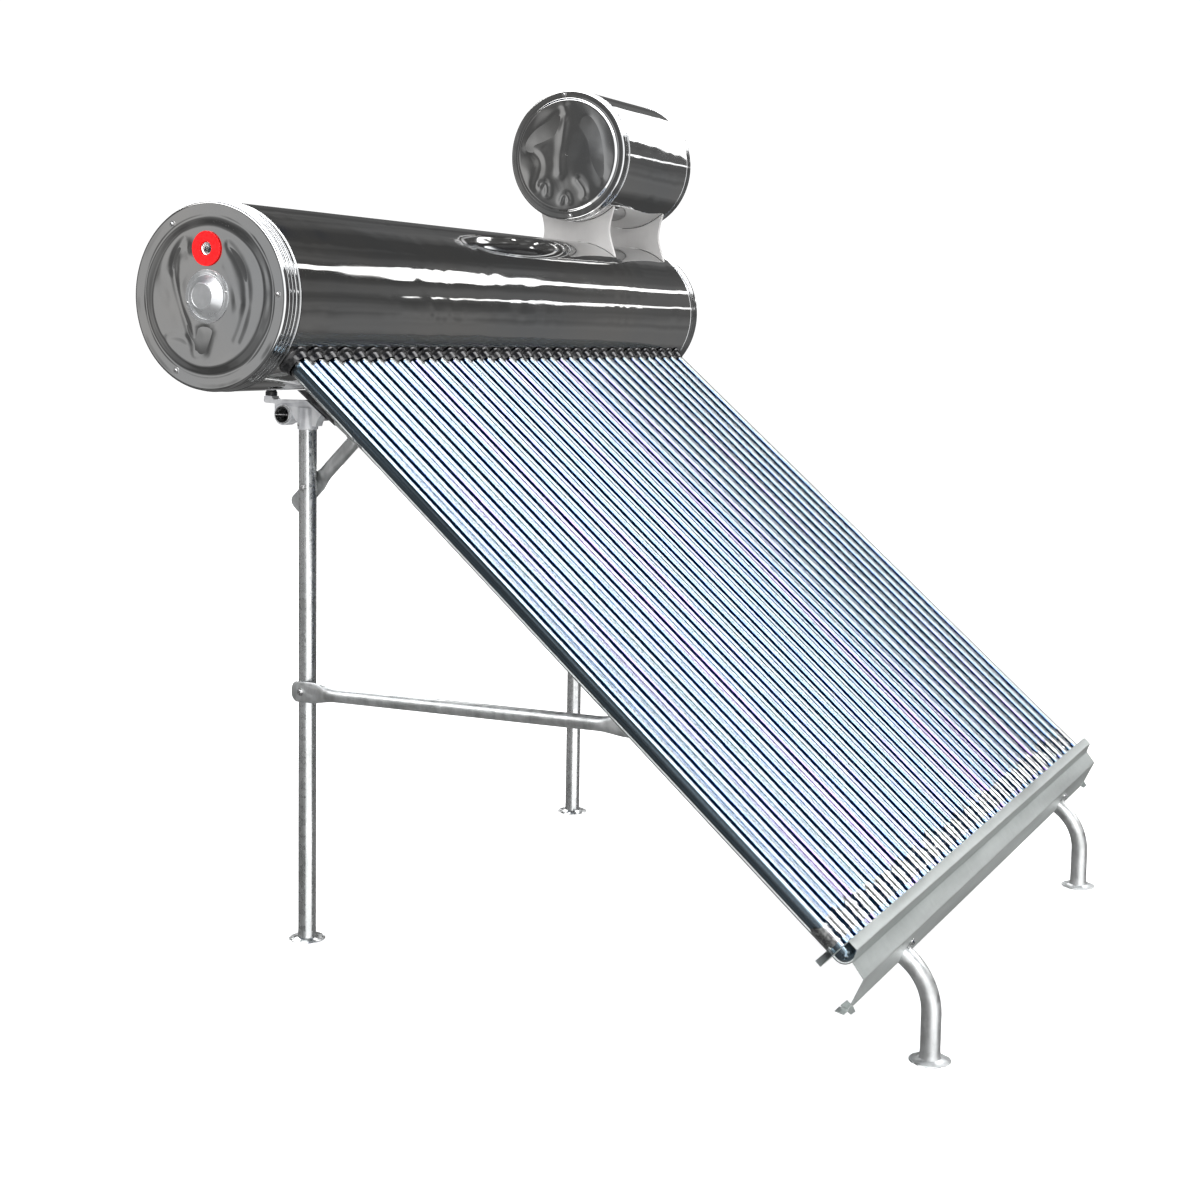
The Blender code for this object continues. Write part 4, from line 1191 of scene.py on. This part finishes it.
def make_world():
    """White to look at and to light by; reflections see a dark studio with panels of light.

    Directions are in the world's own axes. A reflection seen through the tubes' glass is a
    transmission ray, so the glossy depth picks the studio, and not the kind of ray.
    """
    world = bpy.data.worlds.new("studio")
    bpy.context.scene.world = world
    world.use_nodes = True
    world.node_tree.nodes.clear()
    sky = Nodes(world.node_tree)
    direction = sky.node("ShaderNodeTexCoord").outputs["Generated"]
    parts = sky.node("ShaderNodeSeparateXYZ", {"Vector": direction}).outputs

    def soft(value, low, high, to_low=0.0, to_high=1.0):
        return sky.span(value, low, high, to_low, to_high, "SMOOTHSTEP")

    def product(first, *others):
        for other in others:
            first = sky.maths("MULTIPLY", first, other)
        return first

    def window(axis, low, high, blur):
        return product(soft(parts[axis], low - blur, low + blur),
                       soft(parts[axis], high - blur, high + blur, 1.0, 0.0))

    def panel(glow, x, y, z, blur=0.02):
        """A panel of light, as the stretches of directions that it fills."""
        return product(window("X", *x, blur), window("Y", *y, blur), window("Z", *z, blur), glow)

    def total(first, *others):
        for other in others:
            first = sky.maths("ADD", first, other)
        return first

    def background(colour, strength):
        return sky.node("ShaderNodeBackground", {"Color": colour, "Strength": strength}).outputs[0]

    ramp = sky.node("ShaderNodeValToRGB", {"Fac": sky.span(parts["Z"], -1.0, 1.0)})
    greys = ((0.0, 0.15), (0.38, 0.14), (0.44, 0.18), (0.495, 0.10), (0.53, 0.11), (0.66, 0.13),
             (0.79, 0.13))
    stops = [(place, (tone, tone, tone, 1)) for place, tone in greys]
    stops += [(place, (0.010, 0.028, 0.075, 1)) for place in (0.83, 1.0)]
    elements = ramp.color_ramp.elements
    for place, _ in stops[1:-1]:
        elements.new(place)
    for element, (place, tone) in zip(elements, stops):
        element.position = place
        element.color = tone
    patches = sky.node("ShaderNodeTexNoise", {"Vector": direction, "Scale": 2.6, "Detail": 3.0})
    cloudy = soft(patches.outputs["Fac"], 0.38, 0.62, 0.55, 1.35)

    anywhere, front = (-2, 2), (-2, -0.15)
    shades = total(panel(0.60, (-0.97, -0.82), (0.25, 0.53), (-0.3, 0.6), 0.05),
                   panel(0.60, (-0.74, -0.20), (0.70, 0.97), (-0.5, 0.6), 0.05))
    on_caps = product(panel(0.26, (-2, -0.40), anywhere, (-0.16, 0.30), 0.14), cloudy,
                      sky.maths("SUBTRACT", 1.0, shades))

    turn = sky.maths("ARCTAN2", parts["Z"], product(parts["Y"], -1.0))
    off = sky.maths("ABSOLUTE", sky.maths("SUBTRACT", turn, math.radians(41)))
    reach = total(product(window("X", 0.826, 0.868, 0.014), 0.11), 0.045)
    band = soft(sky.maths("SUBTRACT", reach, off), -0.012, 0.012, 0.0, 2.6)
    glow = total(on_caps, product(band, soft(parts["X"], 0.68, 0.78)),
                 panel(6.0, (-0.76, -0.45), anywhere, (0.45, 2)),
                 panel(6.0, (0.33, 0.72), anywhere, (0.44, 2)),
                 panel(1.7, (-0.93, 0.02), (-2, -0.25), (-0.6, 0.6), 0.05),
                 panel(2.2, (0.845, 0.97), front, (0.080, 0.098), 0.006),
                 panel(2.2, (0.873, 0.879), front, (0.066, 0.104), 0.003),
                 panel(2.2, (0.885, 0.892), front, (0.066, 0.104), 0.003))
    studio = sky.node("ShaderNodeAddShader", {0: background(ramp.outputs["Color"], cloudy),
                                              1: background((1, 1, 1, 1), glow)}).outputs[0]
    path = sky.node("ShaderNodeLightPath").outputs
    mirrored = product(sky.maths("GREATER_THAN", path["Glossy Depth"], 0.5),
                       sky.maths("LESS_THAN", path["Diffuse Depth"], 0.5))
    mix = sky.node("ShaderNodeMixShader", {0: mirrored, 1: background((1, 1, 1, 1), 1.08), 2: studio})
    sky.node("ShaderNodeOutputWorld", {"Surface": mix.outputs[0]})


def make_lights():
    overhead = area_light("overhead_softbox", (TANK.x + 0.3, TANK.y - 1.6, 5.2),
                          (TANK.x + 0.2, TANK.y - 1.0, 0.9), (4.2, 1.5), 90)
    front = area_light("front_softbox", (TANK.x - 3.8, TANK.y - 4.0, 3.6),
                       (TANK.x, TANK.y - 0.5, 1.2), (2.0, 1.6), 60)
    overhead.visible_glossy = front.visible_glossy = False
    high = area_light("feeder_softbox", FEEDER + Vector((2.7, -0.47, 1.50)), FEEDER, (1.7, 2.7), 27)
    lit = bpy.data.collections.new("feeder_softbox_lights")
    lit.objects.link(bpy.data.objects["feeder_jacket"])
    high.light_linking.receiver_collection = lit


def make_camera():
    """The view of the reference: from the front left at about the height of the tank."""
    camera = bpy.data.cameras.new("camera")
    camera.lens = 54.788
    camera.sensor_width = 36.0
    camera.shift_x, camera.shift_y = -0.0223, -0.0781
    camera.clip_end = 60.0
    yaw, pitch, roll = 1.113996, -0.093505, 0.0178121
    level = math.cos(pitch)
    ahead = Vector((math.sin(yaw) * level, math.cos(yaw) * level, math.sin(pitch)))
    right = Vector((math.cos(yaw), -math.sin(yaw), 0))
    up = right.cross(ahead)
    rolled_right = math.cos(roll) * right + math.sin(roll) * up
    rolled_up = math.cos(roll) * up - math.sin(roll) * right
    turn = Matrix((rolled_right, rolled_up, -ahead)).transposed().to_4x4()
    place = Matrix.Translation((TANK.x - 4.81214, TANK.y - 2.92519, 1.67597))
    piece = bpy.data.objects.new("camera", camera)
    piece.matrix_world = place @ turn
    bpy.context.scene.collection.objects.link(piece)
    bpy.context.scene.camera = piece


make_camera()
make_world()
make_floor()
make_main_tank()
make_feeder_tank()
make_cap_screws()
make_outlet()
make_port_cover()
make_saddles()
make_tubes()
make_dust_rings()
make_rear_legs()
make_front_rails()
make_braces()
make_cross_tube()
make_leg_brackets()
make_pads_and_boots_and_shade()
make_frame_bolts()
make_tail_channel()
make_lights()
bpy.context.scene.view_settings.view_transform = "Standard"
